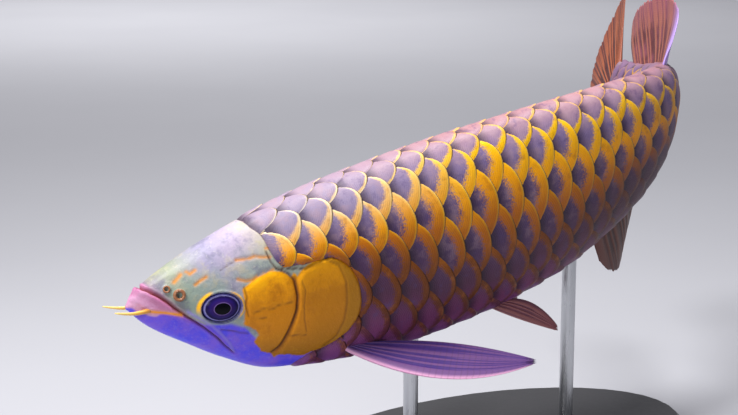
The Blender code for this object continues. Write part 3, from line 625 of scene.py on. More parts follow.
EYE_YELLOW = (0.90, 0.46, 0.004)
LINE_BROWN = (0.060, 0.014, 0.006)
MOUTH_RED = (0.30, 0.05, 0.06)
GUM_ORANGE = (0.88, 0.32, 0.01)
LID_BLUE = (0.050, 0.040, 0.22)


def skin_station(v):
    """Station and ring size along the skin: fine over the head, round at both ends."""
    front = np.clip(v / CAP_SHARE, 0.0, 1.0)
    rear = np.clip((v - 1.0 + CAP_SHARE) / CAP_SHARE, 0.0, 1.0)
    middle = np.clip((v - CAP_SHARE) / (1.0 - 2.0 * CAP_SHARE), 0.0, 1.0)
    head = HEAD_START + (HEAD_END - HEAD_START) * middle / HEAD_SHARE
    body = HEAD_END + (1.0 - HEAD_END) * (middle - HEAD_SHARE) / (1.0 - HEAD_SHARE)
    s = np.where(middle < HEAD_SHARE, head, body)
    front_cap = FRONT_CAP * np.cos(front * math.pi / 2.0) * (v < CAP_SHARE)
    s = s - front_cap + REAR_CAP * np.sin(rear * math.pi / 2.0)
    shrink = np.sin(front * math.pi / 2.0) * np.cos(rear * math.pi / 2.0)
    return s, np.maximum(shrink, 0.0)


def across_axis(axis):
    """A level direction and an upright one, both square to the axis."""
    first = np.cross(axis, (0.0, 0.0, 1.0))
    first = first / np.linalg.norm(first)
    return first, np.cross(axis, first)


def eye_distance(points, side):
    """Distance in mm from the eye's axis on one side."""
    here, axis = skin_axis(EYE_AT, side_degrees(EYE_HEIGHT, side))
    first, second = across_axis(axis)
    away = points - here
    near = np.linalg.norm(away, axis=-1) < EYE_NEIGHBOURHOOD
    flat = np.hypot(away @ first, away @ second / EYE_FLATNESS)
    return np.where(near, flat, EYE_NEIGHBOURHOOD) * 1000.0


def fine_lines(s, h, lines):
    """Nearness to each line of a set, 1 on it and 0 off it, with the line's depth."""
    return [(bump_line(line_distance(s, h, line), width), depth) for line, width, depth in lines]


def toward_front(pair, front):
    """A measure of the mouth, from its value at the corner to that at the front."""
    return pair[0] + pair[1] * front


def head_marks(s, degrees):
    """All that the head's skin carries: lifts in mm and masks of its colours."""
    h = folded(degrees)
    border = scale_border(h)
    head = 1.0 - ramp(s, border - 0.002, border + 0.002)
    stations, heights = zip(*MOUTH)
    mouth_height = np.interp(s, stations, heights, left=200.0, right=-200.0)
    from_mouth = line_distance(s, h, MOUTH) * np.where(h > mouth_height, 1.0, -1.0)
    mouth = 1.0 - ramp(s, *MOUTH_ENDS)
    front = 1.0 - ramp(s, *FRONT_ENDS)
    cheek = inside_plate(s, h, CHEEK_PLATE)
    cover = inside_plate(s, h, COVER_PLATE)
    plates = np.maximum(cheek, cover)
    between = np.minimum(cheek, cover)
    rim = line_distance(s, h, COVER_RIM_LINE)
    on_cover = ramp(cover, 0.0, 1.0)
    maxilla = bump_line(line_distance(s, h, MAXILLA), MAXILLA_WIDTH) * mouth
    lip_pad = inside_plate(s, h, LOWER_LIP)
    points = skin_at(s, degrees)
    from_eye = np.minimum(eye_distance(points, 1), eye_distance(points, -1)) - EYE_RADIUS * 1000.0
    dark_lines = fine_lines(s, h, DARK_LINES)
    canals = fine_lines(s, h, CANAL_LINES)

    # Relief
    lift = CHEEK_RISE * ramp(cheek, *CHEEK_SLOPE) + COVER_RISE * ramp(cover, *COVER_SLOPE)
    lift = lift - RIM_GROOVE * bump_line(rim, RIM_WIDTH) * on_cover
    lift = lift - np.maximum.reduce([near * depth for near, depth in dark_lines + canals])
    groove = bump_line(from_mouth, toward_front(MOUTH_WIDTH, front))
    upper_lip = bump_line(from_mouth - UPPER_LIP_AWAY, UPPER_LIP_WIDTH)
    below_mouth = from_mouth + toward_front(LOWER_LIP_AWAY, front)
    lower_lip = bump_line(below_mouth, toward_front(LOWER_LIP_WIDTH, front))
    lift = lift - toward_front(MOUTH_DEPTH, front) * groove * mouth
    lift = lift + UPPER_LIP_RISE * upper_lip * mouth
    lift = lift + toward_front(LOWER_LIP_RISE, front) * lower_lip * mouth
    lift = lift + MAXILLA_RISE * maxilla
    lift = lift + EYE_RIM_RISE * bump_line(from_eye - EYE_RIM_WIDTH, EYE_RIM_WIDTH)
    lift = lift - SOCKET_DEPTH * (1.0 - ramp(from_eye, *SOCKET_SLOPE))
    for place, height, radius, _ in NOSTRILS:
        near = line_distance(s, h, ((place, height), (place, height)))
        lift = lift + NOSTRIL_SWELL * bump_line(near - radius * 1000.0, NOSTRIL_SWELL_WIDTH)
        lift = lift - NOSTRIL_PIT * bump_line(near, radius * 1000.0 * NOSTRIL_PIT_SHARE)
    lift = lift + LIP_PAD_RISE * ramp(lip_pad, *LIP_PAD_SLOPE)

    # Masks, each from 0 to 1 over so many mm, degrees or stations
    dark = np.maximum.reduce([near * min(1.0, 0.3 + depth) for near, depth in dark_lines])
    dark = np.maximum(dark, 0.45 * bump_line(rim, 0.6) * on_cover)
    stations, heights = zip(*reversed(COVER_RIM_LINE))
    behind_rim = s - np.interp(h, heights, stations)
    stations, heights = zip(*JAW_TOP)
    jaw_top = np.interp(s, stations, heights)
    ahead = ramp(EYE_AT - s, 0.003, 0.011) * ramp(h, -8.0, 2.0) * (1.0 - ramp(from_eye, 2.5, 3.4))
    behind = ramp(s - EYE_AT, 0.012, 0.020) * ramp(h, -14.0, -4.0) * (1.0 - ramp(from_eye, 1.5, 2.4))
    return {
        "lift": lift * head - UNDER_SCALES * (1.0 - head),
        "head": head,
        "dark": np.maximum(dark, bump_line(from_mouth, 0.55) * mouth),
        "canal": np.maximum.reduce([near for near, _ in canals]),
        "gold": np.clip(np.maximum(plates, between + 2.6), -6.0, 6.0),
        "gap": ramp(between, -3.6, -2.2) * (1.0 - ramp(plates, -0.9, 0.3)),
        "olive": ramp(cover, -0.3, 0.5) * ramp(behind_rim, -0.003, 0.004),
        "lower_lip": ramp(lip_pad + 2.4 * (1.0 - ramp(s, 0.0, 0.009)), -0.6, 0.8),
        "gum": bump_line(line_distance(s, h, GUM_LINE), 0.9),
        "lip": mouth * bump_line(from_mouth + 0.9 * front, 1.4 + 1.9 * front) * (0.35 + 0.65 * front),
        "mouth_inside": bump_line(from_mouth + 0.2, 0.55 + 0.35 * front) * front * mouth,
        "jaw": (1.0 - ramp(h, jaw_top - 4.0, jaw_top + 1.0)) * (1.0 - ramp(s, 0.24, 0.30)),
        "maxilla": maxilla,
        "eye_edge": bump_line(from_eye - 0.2, 0.7),
        "eye_gold": ramp(from_eye, 0.5, 0.9) * (ahead + behind),
        "station": s,
        "height": h / 90.0,
    }


def skin_piece():
    """Head, jaw, gill covers and trunk in one closed skin, with the relief of the head in its mesh."""
    marks = {}

    def place(u, v, item):
        s, shrink = skin_station(v)
        degrees = -90.0 + 360.0 * u
        marks.update(head_marks(s, degrees))
        return skin_at(s, degrees, marks["lift"] / 1000.0 * shrink, shrink)

    def fields(u, v, item):
        return {key: values for key, values in marks.items() if key != "lift"}

    def bake(u, v, item):
        return u, v

    return shaped("skin", SKIN_AROUND, SKIN_ALONG, place, fields, bake)


def skin_paint():
    """Skin of the head and trunk: crown, then jaw, gold plates, canals, lips, lines and eye rims."""
    paint = Paint("arowana_skin", roughness=0.42, coat=0.05, coat_roughness=0.25, specular=0.25)
    station = paint.carried("station")
    height = paint.carried("height")
    broad = paint.noise(38.0, 3.0, 0.6)
    mottle = paint.noise(95.0, 4.0, 0.65)
    fine = paint.noise(520.0, 3.0, 0.65)
    crown = paint.colours(station + (mottle - 0.5) * 0.06, *CROWN)
    mint = paint.step(height + (mottle - 0.5) * 0.5, 0.62, 0.25)
    crown = paint.mix(mint * paint.step(broad, 0.25, 0.55) * 0.75, crown, MINT)
    crown = paint.mix(paint.step(mottle, 0.50, 0.66) * 0.45, crown, BRASS)
    crown = paint.mix(paint.step(mottle, 0.48, 0.32) * 0.5, crown, SLATE)
    crown = paint.mix(paint.step(fine, 0.55, 0.75) * 0.35, crown, BONE)
    trunk = paint.colours(height * 0.5 + 0.5, *TRUNK)
    colour = paint.mix(paint.carried("head"), trunk, crown)
    jaw = paint.mix(paint.step(mottle, 0.30, 0.72), JAW_BLUE, JAW_VIOLET)
    jaw = paint.mix(paint.step(fine, 0.5, 0.8) * 0.25, jaw, JAW_FLECK)
    colour = paint.mix(paint.carried("jaw"), colour, jaw)
    gold = paint.colours(height + (mottle - 0.5) * 0.35, *GOLD)
    # Gold darkens low on the head: partly its own tone, partly painted shade.
    gold = paint.mix(paint.step(height, -0.16, -0.52), gold, LOW_GOLD_AND_SHADE)
    gold = paint.mix(paint.carried("olive") * 0.75, gold, OLIVE)
    gold = paint.mix(paint.step(mottle, 0.48, 0.30) * 0.30, gold, RUST)
    gold = paint.mix(paint.step(fine, 0.50, 0.78) * 0.12, gold, GOLD_FLECK)
    edge = paint.carried("gold") + (mottle - 0.5) * (1.8 + 4.0 * paint.step(height, 0.05, -0.20))
    golden = paint.step(edge, -2.1, -0.7)
    gold = paint.mix(paint.step(station, 0.155, 0.185) * 0.45, gold, REAR_GOLD)
    gold = paint.mix(paint.carried("gap") * 0.8, gold, GAP_BROWN)
    colour = paint.mix(golden, colour, gold)
    broken = paint.step(mottle, 0.28, 0.50)
    colour = paint.mix(paint.carried("canal") * broken * 0.9, colour, CANAL_ORANGE)
    lower_lip = paint.mix(paint.step(mottle, 0.3, 0.7), LIP_ROSE, LIP_PINK)
    colour = paint.mix(paint.carried("lower_lip"), colour, lower_lip)
    colour = paint.mix(paint.carried("lip") * 0.7, colour, LIP_WINE)
    colour = paint.mix(paint.carried("maxilla") * 0.7, colour, MAXILLA_BLUE)
    colour = paint.mix(paint.carried("eye_gold") * 0.97, colour, EYE_YELLOW)
    colour = paint.mix(paint.carried("dark") * (0.45 + 0.45 * broken), colour, LINE_BROWN)
    colour = paint.mix(paint.carried("mouth_inside") * 0.95, colour, MOUTH_RED)
    colour = paint.mix(paint.carried("gum"), colour, GUM_ORANGE)
    colour = paint.mix(paint.carried("eye_edge") * 0.9, colour, LID_BLUE)
    paint.set("Base Color", colour)
    paint.set("Metallic", golden * 0.15)
    paint.set("Roughness", 0.32 + mottle * 0.24)
    paint.bump(fine * 0.6 + mottle * 1.6, 0.0007, 0.5)
    return paint.material


# Scales

# Colours: the two ramps run down the side, from the back at 0 to the belly at 1
# Their darkening over the lower flank is partly the fish's own tone and partly painted shade.
SCALE_CENTRE = ((0.0, (0.40, 0.20, 0.22)), (0.13, (0.32, 0.19, 0.25)), (0.24, (0.22, 0.155, 0.30)),
                (0.38, (0.125, 0.075, 0.17)), (0.50, (0.075, 0.036, 0.10)), (0.64, (0.085, 0.024, 0.060)),
                (0.80, (0.18, 0.042, 0.13)), (1.0, (0.20, 0.060, 0.30)))
SCALE_EDGE = ((0.0, (0.70, 0.34, 0.16)), (0.12, (0.84, 0.46, 0.10)), (0.20, (0.98, 0.55, 0.004)),
              (0.35, (0.96, 0.38, 0.000)), (0.45, (0.48, 0.135, 0.001)), (0.56, (0.20, 0.052, 0.003)),
              (0.72, (0.13, 0.030, 0.004)), (0.88, (0.12, 0.026, 0.075)))
PEARL = (0.32, 0.27, 0.38)
MAUVE = (0.40, 0.26, 0.30)
INK = (0.075, 0.045, 0.15)
CREAM = (0.76, 0.58, 0.36)
COPPER = (0.42, 0.13, 0.010)
BRIGHT_GOLD = (1.0, 0.58, 0.01)
BRIGHT_CREAM = (0.88, 0.76, 0.56)
PALE_RIM = (0.95, 0.74, 0.40)
RIM_SHADOW_LINE = (0.06, 0.014, 0.014)
LOW_REAR_TONE_AND_SHADE = (0.036, 0.006, 0.008)
REAR_PLUM = (0.085, 0.024, 0.075)
STALK_MAUVE_AND_PAINTED_LIGHT = (0.20, 0.11, 0.20)
ROOT_SHADE = (0.020, 0.008, 0.020)


def scale_tip(column):
    """Station of the rear tips of a column of scales; columns lie half a pitch apart."""
    k = column / 2.0
    return FIRST_TIP + FIRST_PITCH * k + (LAST_PITCH - FIRST_PITCH) * k * k / SCALE_COLUMNS


def row_height(row, s):
    """Height in degrees of a row, also between rows and past the back or the belly."""
    last = len(row_curves) - 1
    heights = np.stack([curve(s) for curve in row_curves])
    whole = np.clip(np.floor(np.clip(row, 0, last)).astype(int), 0, last - 1)
    part = np.clip(row, 0, last) - whole
    pick = np.arange(len(s))
    inner = heights[whole, pick] + (heights[whole + 1, pick] - heights[whole, pick]) * part
    above = 90.0 + (90.0 - heights[1, pick]) * np.maximum(-row, 0.0)
    below = -90.0 - (heights[last - 1, pick] + 90.0) * np.maximum(row - last, 0.0)
    return np.where(row < 0.0, above, np.where(row > last, below, inner))


def scale_list(rows):
    """Column and row of each scale of the lattice, for the rows given."""
    places = []
    for column in range(-1, SCALE_COLUMNS + 1):
        for row in rows:
            if row % 2 == column % 2 and scale_tip(column) < LAST_TIP:
                places.append((column, row))
    return np.array(places, float)


def scales_piece(name, rows, side, seed):
    """One side's scales as closed plates that overlap like tiles, each with its root sunk in the skin."""
    places = scale_list(rows)
    chance = np.random.default_rng(seed).random(len(places))
    kept = {}

    def place(u, v, item):
        column = places[item, 0]
        row = places[item, 1]
        tip = scale_tip(column)
        step = tip - scale_tip(column - 1)
        pitch = 2.0 * step
        top = u < 0.5
        a = np.where(top, 4.0 * u - 1.0, 3.0 - 4.0 * u)
        b = 1.0 - (1.0 - v) ** SCALE_BUNCHING
        across = a * NEAR_SIDE * SCALE_WIDTH
        depth = SCALE_ROUND * pitch
        power = SCALE_SQUARENESS
        outline = np.maximum(1.0 - NEAR_TIP * np.abs(a) ** power, 0.0) ** (1.0 / power)
        margin = tip - depth * (1.0 - outline)
        root = tip - SCALE_REACH * pitch
        s = root + (margin - root) * b
        past_centre = np.maximum(s - tip + depth, 0.0) / depth
        round_share = (past_centre ** power + np.abs(across / SCALE_WIDTH) ** power) ** (1.0 / power)
        from_tip = (tip - s) / pitch
        lift = SCALE_LIFT * (1.0 - from_tip / SCALE_REACH) - SCALE_SINK
        lift = lift + SCALE_CROWN * (1.0 - a * a) - SCALE_RIM_DROP * ramp(round_share, SCALE_RIM_FROM, 1.0)
        lift = lift + SCALE_UNEVEN * (chance[item] - 0.5)
        thick = SCALE_THICKNESS * np.sqrt(np.clip((1.0 - np.abs(a)) * SIDE_ROUNDING, 0.0, 1.0))
        for end in (1.0 - v, v):
            thick = thick * np.sqrt(np.clip(end * END_ROUNDING, 0.0, 1.0))
        lift = lift + thick * np.where(top, 0.5, -0.5)
        degrees = row_height(row + across, s)
        border = scale_border(folded(degrees))
        sunk = HEAD_COVER * (1.0 - ramp(s, border - HEAD_COVER_FADE, border + HEAD_COVER_FADE))
        lift = lift * ramp(step, FLAT_STEP, FULL_STEP) - sunk
        kept["fields"] = {"rim": 1.0 - round_share, "row": (row + across) / (len(ROW_DEGREES) - 1),
                          "station": s, "chance": chance[item], "from_tip": from_tip}
        around = np.where(top, 0.0, BAKE_SPOT) + (row + 0.5) / len(ROW_DEGREES) * 0.5 + a * BAKE_SPOT
        kept["bake"] = (around if side > 0 else 1.0 - around, tip + (b - 0.5) * 2.0 * BAKE_SPOT)
        return skin_at(s, side_degrees(degrees, side), lift)

    def fields(u, v, item):
        return kept["fields"]

    def bake(u, v, item):
        return kept["bake"]

    return shaped(name, 2 * SCALE_STEPS_ACROSS, SCALE_STEPS_ALONG, place, fields, bake, len(places))


def scale_paint():
    """Scales: a dusky centre, a speckled gold crescent, a bright band, a thin painted shadow line at the
    rim and painted shade at the root.
    """
    paint = Paint("arowana_scales", roughness=0.42, coat=0.06, coat_roughness=0.25, specular=0.25)
    rim = paint.carried("rim")
    row = paint.carried("row")
    station = paint.carried("station")
    chance = paint.carried("chance")
    mottle = paint.noise(130.0, 4.0, 0.65)
    speck = paint.noise(1000.0, 3.0, 0.75)
    rear = paint.step(station, 0.30, 0.95)
    place = row + (chance - 0.5) * 0.05 + rear * 0.05
    centre = paint.colours(place, *SCALE_CENTRE)
    cream = paint.step(station, 0.46, 0.20) * paint.step(row, 0.40, 0.24)
    centre = paint.mix(cream * 0.75, centre, PEARL)
    upper = paint.step(place, 0.62, 0.40)
    centre = paint.mix(paint.step(mottle, 0.44, 0.66) * 0.45 * upper, centre, MAUVE)
    centre = paint.mix(paint.step(mottle, 0.46, 0.30) * 0.5, centre, INK)
    edge = paint.colours(place, *SCALE_EDGE)
    edge = paint.mix(cream * 0.85, edge, CREAM)
    edge = paint.mix(paint.step(mottle, 0.50, 0.32) * 0.45, edge, COPPER)
    reach = 0.14 + 0.46 * paint.step(place, 0.12, 0.32) - 0.28 * paint.step(place, 0.40, 0.62)
    reach = reach * (1.0 - cream * 0.7) + (mottle - 0.5) * 0.20 + (chance - 0.5) * 0.10
    reach = paint.maths("MAXIMUM", reach, 0.05)
    reach = reach * (1.0 - 0.45 * paint.step(station, 0.60, 0.88))
    goldness = 1.0 - rim / reach
    speckled = paint.step(goldness + (speck - 0.5) * (1.5 - 1.1 * cream), -0.02, 0.46)
    colour = paint.mix(speckled, centre, edge)
    bright = paint.step(rim, 0.13, 0.04) * paint.step(place, 0.55, 0.32) * paint.step(place, 0.06, 0.20)
    colour = paint.mix(bright * (0.75 - 0.4 * rear), colour, paint.mix(cream, BRIGHT_GOLD, BRIGHT_CREAM))
    pale = paint.step(rim, 0.05, 0.015) * paint.step(place, 0.62, 0.30)
    colour = paint.mix(pale * 0.6, colour, PALE_RIM)
    # Painted shadow: a thin dark line along each scale's edge, where it lies over the next scale.
    colour = paint.mix(paint.step(rim, 0.026, 0.008) * 0.90, colour, RIM_SHADOW_LINE)
    # Lower rear flank darkens: partly the fish's own tone, partly painted shade.
    low_rear_tone_and_shade = paint.step(station, 0.48, 0.78) * paint.step(row, 0.26, 0.58)
    colour = paint.mix(low_rear_tone_and_shade * 0.85, colour, LOW_REAR_TONE_AND_SHADE)
    colour = paint.mix(paint.step(station, 0.60, 0.86) * 0.46, colour, REAR_PLUM)
    # Lighter mauve over the tail stalk: partly its own colour, partly painted light.
    colour = paint.mix(paint.step(station, 0.90, 0.95) * 0.8, colour, STALK_MAUVE_AND_PAINTED_LIGHT)
    # Painted shade near each scale's root, under the edge of the scale in front.
    shade = paint.step(paint.carried("from_tip"), 0.55, 1.02)
    colour = paint.mix(shade * 0.8, colour, ROOT_SHADE)
    paint.set("Base Color", colour)
    paint.set("Metallic", speckled * 0.12)
    paint.set("Roughness", 0.36 + mottle * 0.22)
    rings = paint.maths("SINE", rim * 95.0 + mottle * 6.0)
    paint.bump(rings * 0.12 + speck * 0.8 + mottle * 1.2, 0.0006, 0.4)
    return paint.material


# Eyes, nostrils and barbels

IRIS = ((0.0, (0.001, 0.001, 0.003)), (0.40, (0.001, 0.001, 0.004)), (0.425, (0.16, 0.10, 0.30)),
        (0.47, (0.030, 0.010, 0.10)), (0.62, (0.018, 0.008, 0.11)), (0.76, (0.008, 0.004, 0.05)),
        (0.82, (0.012, 0.006, 0.06)), (0.87, (0.34, 0.32, 0.66)), (0.93, (0.10, 0.09, 0.40)),
        (0.98, (0.03, 0.025, 0.14)))
BARBEL_GOLD = ((0.0, (0.62, 0.24, 0.05)), (0.35, (0.80, 0.42, 0.05)), (1.0, (0.92, 0.66, 0.22)))
NOSTRIL_DARK = (0.16, 0.055, 0.02)
NOSTRIL_LIGHT = (0.42, 0.17, 0.07)


def circle(share):
    """Angle of a full turn at each share of it, as a column beside the points."""
    return (share * 2.0 * math.pi)[:, None]


def eye_piece(name, side):
    """Flattened ball of an eye, its front out of the skin, with its share from the pupil's middle."""
    here, axis = skin_axis(EYE_AT, side_degrees(EYE_HEIGHT, side))
    centre = here + axis * (EYE_PROUD - EYE_DEPTH)
    first, second = across_axis(axis)

    def place(u, v, item):
        polar = (v * math.pi)[:, None]
        turn = circle(u)
        ring = np.cos(turn) * first + np.sin(turn) * second * EYE_FLATNESS
        return centre + np.sin(polar) * EYE_RADIUS * ring + np.cos(polar) * EYE_DEPTH * axis

    def fields(u, v, item):
        return {"share": np.where(v < 0.5, np.sin(v * math.pi), 1.0)}

    return shaped(name, 64, 40, place, fields)


def eye_paint():
    """Eye: black pupil, violet ring, dark blue iris and a paler rim."""
    paint = Paint("arowana_eye", roughness=0.22, specular=0.10)
    rays = paint.noise(900.0, 3.0, 0.6)
    paint.set("Base Color", paint.colours(paint.carried("share") + (rays - 0.5) * 0.03, *IRIS))
    return paint.material


def tube_piece(name, path, radii, sides):
    """Closed tube along a path of points, with a radius at each."""
    steps = len(path) - 1
    tangents = np.gradient(path, axis=0)
    tangents = tangents / np.linalg.norm(tangents, axis=1)[:, None]
    first = np.cross(tangents, (0.0, 0.13, 1.0))
    first = first / np.linalg.norm(first, axis=1)[:, None]
    second = np.cross(tangents, first)

    def place(u, v, item):
        i = np.rint(v * steps).astype(int)
        turn = circle(u)
        return path[i] + radii[i][:, None] * (np.cos(turn) * first[i] + np.sin(turn) * second[i])

    def fields(u, v, item):
        return {"along": v}

    return shaped(name, sides, steps, place, fields)


def ring_piece(name, s, degrees, radius, thickness):
    """Rounded rim of a nostril, standing on the skin."""
    here, axis = skin_axis(s, degrees)
    first, second = across_axis(axis)

    def place(u, v, item):
        turn = circle(u)
        wall = circle(v)
        out = np.cos(turn) * first + np.sin(turn) * second
        rise = NOSTRIL_RISE + thickness * 1.3 * np.sin(wall)
        return here + axis * rise + out * (radius + thickness * np.cos(wall))

    return shaped(name, 32, 12, place)


def barbel_piece(name, side):
    """Barbel of the lower jaw, thick at its foot, pointing ahead and a little up and aside."""
    station, height = BARBEL_FOOT
    here, _ = skin_axis(station, side_degrees(height, side))
    rise = math.radians(BARBEL_RISE)
    splay = math.radians(BARBEL_SPLAY) * side
    level = -math.cos(rise)
    forward = np.array((level * math.cos(splay), level * math.sin(splay), math.sin(rise)))
    u = np.linspace(0.0, 1.0, 29)[:, None]
    bow = np.array((0.0, 0.0, -BARBEL_BOW)) * np.sin(math.pi * u)
    local = forward * (BARBEL_LENGTH * u - BARBEL_ROOT) + bow
    radii = BARBEL_RADIUS + (BARBEL_TIP_RADIUS - BARBEL_RADIUS) * u[:, 0]
    radii[0] = 0.0
    radii[-2] = radii[-2] * 0.8
    radii[-1] = 0.0
    return tube_piece(name, here + local @ POSE.T, radii, 20)


def barbel_paint():
    """Barbel: orange at the foot and yellow at the tip."""
    paint = Paint("arowana_barbel", roughness=0.38, coat=0.3)
    soft = paint.noise(500.0, 2.0)
    paint.set("Base Color", paint.colours(paint.carried("along") + (soft - 0.5) * 0.2, *BARBEL_GOLD))
    paint.bump(soft, 0.0004, 0.3)
    return paint.material


def nostril_paint():
    """Rim of a nostril, mottled brown."""
    paint = Paint("arowana_nostril", roughness=0.4, coat=0.3)
    soft = paint.noise(700.0, 2.0)
    paint.set("Base Color", paint.mix(soft, NOSTRIL_DARK, NOSTRIL_LIGHT))
    return paint.material


# Fins

RAY_SWAY = ((0.16, 2.1, 0.6), (0.10, 3.7, 0.0))
RAY_SHARPNESS = 2.4


def ridge(u, rays):
    """Height of the rays across a fin: 1 on a ray and 0 half way between two."""
    place = u * (rays - 1)
    uneven = place
    for sway, rate, start in RAY_SWAY:
        uneven = uneven + sway * np.sin(place * rate + start)
    return np.abs(np.cos(math.pi * uneven)) ** RAY_SHARPNESS


def fin_piece(name, web_at, rays, root, fine=8):
    """Blade with its two faces in one closed mesh, with rays that fork towards the edge."""

    def blade(u, v):
        """Share across the fin and out along it, negative in the body, and the rays and forks there."""
        across = np.where(u < 0.5, 2.0 * u, 2.0 - 2.0 * u)
        out = v * (1.0 + FIN_FOOT) - FIN_FOOT
        level = np.where(out < 0.0, out / FIN_FOOT, out)
        return across, level, ridge(across, rays), ridge(across, 2 * rays - 1) * ramp(level, *FORKS)

    def place(u, v, item):
        across, level, ray, forks = blade(u, v)
        cut = NOTCH * (1.0 - np.maximum(ray, forks * FORK_NOTCH)) * ramp(level, *NOTCHES)
        middle, normal = web_at(across, np.where(level > 0.0, level * (1.0 - cut), level))
        grown = np.maximum(level, 0.0)
        web = root + (FIN_EDGE - root) * np.minimum(grown * WEB_TAPER, 1.0)
        rise = RAY_RISE * (1.0 - RAY_TAPER * grown) * np.maximum(ray, forks * FORK_RISE)
        thick = web * WEB_SHARE + rise * 2.0
        from_side = np.minimum(across, 1.0 - across) * (rays - 1)
        for inward in (from_side * FIN_SIDE_ROUNDING, (1.0 - v) * FIN_END_ROUNDING, v * FIN_END_ROUNDING):
            thick = thick * np.sqrt(np.clip(inward, 0.0, 1.0))
        return middle + normal * (thick * np.where(u < 0.5, 0.5, -0.5))[:, None]

    def fields(u, v, item):
        across, level, ray, forks = blade(u, v)
        return {"ray": np.maximum(ray, forks), "out": np.maximum(level, 0.0), "across": across}

    return shaped(name, 2 * (rays - 1) * fine, FIN_STEPS, place, fields)


def unit(vectors):
    """The same directions, each of length 1."""
    return vectors / np.maximum(np.linalg.norm(vectors, axis=-1), 1e-12)[..., None]


def web_and_normal(s, wave, up):
    """Points of a web on the middle line, and the directions that face out of its left side."""
    middle = section(s, wave, up)
    return middle, unit(section(s, wave + OFF_WEB, up) - middle)


def median_fin(base, height, lean, above, ripple):
    """Web of a fin on the back or the belly, as a function of the shares across it and out."""
    shares, talls = zip(*height)
    tallness = smooth_curve(shares, talls)
    way = 1.0 if above else -1.0

    def web_at(u, v):
        s = base[0] + (base[1] - base[0]) * u
        angle = np.radians(lean[0] + (lean[1] - lean[0]) * u)
        tall = np.where(v > 0.0, tallness(u) * v, FOOT_DEPTH / STANDARD_LENGTH * v)
        edge = back_height(s) if above else belly_height(s)
        up = (edge + way * tall * np.cos(angle)) * STANDARD_LENGTH
        wave = ripple * np.sin(u * 5.0 + v * 2.0) * np.maximum(v, 0.0) ** 1.5
        return web_and_normal(s + tall * np.sin(angle), wave, up)

    return web_at


def tail_web(u, v):
    """Web of the caudal fin, fanned from the end of the tail stalk."""
    angle = np.radians(TAIL_FAN * (1.0 - 2.0 * u) + TAIL_TURN)
    top = float(back_height(1.0))
    bottom = float(belly_height(1.0))
    root_up = (top + bottom) / 2.0 + (top - bottom) / 2.0 * TAIL_ROOT_SHARE * (1.0 - 2.0 * u)
    fullness = np.maximum(np.sin(math.pi * u), 0.0) ** TAIL_ROUNDNESS
    length = TAIL_LENGTH * (TAIL_SIDE_SHARE + (1.0 - TAIL_SIDE_SHARE) * fullness)
    reach = np.where(v > 0.0, length * v, FOOT_DEPTH / STANDARD_LENGTH * v)
    spread = np.where(v > 0.0, np.sin(angle) * reach, 0.0)
    wave = TAIL_RIPPLE * np.sin(u * 6.0) * np.maximum(v, 0.0)
    return web_and_normal(1.0 + np.cos(angle) * reach, wave, (root_up + spread) * STANDARD_LENGTH)


def paired_web(leading, trailing, side):
    """Web of a pectoral or pelvic fin between its two curved edges."""
    leading = np.array(leading)
    trailing = np.array(trailing)

    def edge(points, v):
        v = v[:, None]
        return (1.0 - v) ** 2 * points[0] + 2.0 * v * (1.0 - v) * points[1] + v * v * points[2]

    def point(u, v):
        front = edge(leading, np.maximum(v, 0.0))
        rear = edge(trailing, np.maximum(v, 0.0))
        out, s, up = (front + (rear - front) * u[:, None]).T
        sunk = FOOT_DEPTH / STANDARD_LENGTH * np.minimum(v, 0.0)
        return section(s, (out + sunk * FOOT_WAY[0]) * side * STANDARD_LENGTH,
                       (up - sunk * FOOT_WAY[1]) * STANDARD_LENGTH)

    def web_at(u, v):
        across = point(np.minimum(u + 0.05, 1.0), v) - point(np.maximum(u - 0.05, 0.0), v)
        along = point(u, np.maximum(v, 0.0) + 0.04) - point(u, np.maximum(v, 0.0))
        return point(u, v), unit(np.cross(across, along)) * side

    return web_at


def fin_paint(name, web, ray, edge, front_ray, front_reach):
    """Fin with coloured rays, cross joints in them and a pale leading ray."""
    paint = Paint(name, roughness=0.42, coat=0.08, specular=0.3)
    rays = paint.carried("ray")
    out = paint.carried("out")
    across = paint.carried("across")
    mottle = paint.noise(90.0, 3.0, 0.6)
    fine = paint.noise(900.0, 2.0, 0.6)
    colour = paint.mix(paint.step(mottle, 0.3, 0.7) * 0.5, web, edge)
    colour = paint.mix(paint.step(rays, 0.35, 0.85), colour, ray)
    colour = paint.mix(paint.step(out, 0.45, 1.0) * 0.45, colour, edge)
    colour = paint.mix(paint.step(across, *reversed(front_reach)), colour, front_ray)
    joints = paint.step(paint.maths("SINE", out * 190.0), 0.55, 0.95)
    colour = paint.mix(joints * 0.16 * paint.step(out, 0.2, 0.5), colour, JOINT_BROWN)
    paint.set("Base Color", colour)
    paint.set("Roughness", 0.34 + fine * 0.2)
    paint.bump(fine + mottle, 0.0005, 0.3)
    return paint.material


# Stand and studio

LACQUER = ((0.018, 0.018, 0.020), (0.035, 0.034, 0.036))
STEEL = ((0.44, 0.45, 0.47), (0.62, 0.63, 0.65))
BRUSHING = (900.0, 900.0, 30.0)
FLOOR_GREY = ((0.42, 0.42, 0.45), (0.46, 0.46, 0.49))


def base_paint():
    """Near-black satin lacquer with a fine grain."""
    paint = Paint("stand_lacquer", roughness=0.35, coat=0.2)
    grain = paint.noise(260.0, 4.0, 0.6)
    paint.set("Base Color", paint.mix(grain, *LACQUER))
    paint.set("Roughness", 0.28 + grain * 0.22)
    paint.bump(grain, 0.0003, 0.25)
    return paint.material


def rod_paint():
    """Steel brushed along the rods."""
    paint = Paint("stand_steel", roughness=0.28, metallic=1.0)
    brushed = paint.node("ShaderNodeMapping", {}, {"Vector": paint.coordinates(), "Scale": BRUSHING})
    grain = paint.noise(1.0, 3.0, 0.6, brushed)
    paint.set("Base Color", paint.mix(grain, *STEEL))
    paint.set("Roughness", 0.2 + grain * 0.2)
    return paint.material


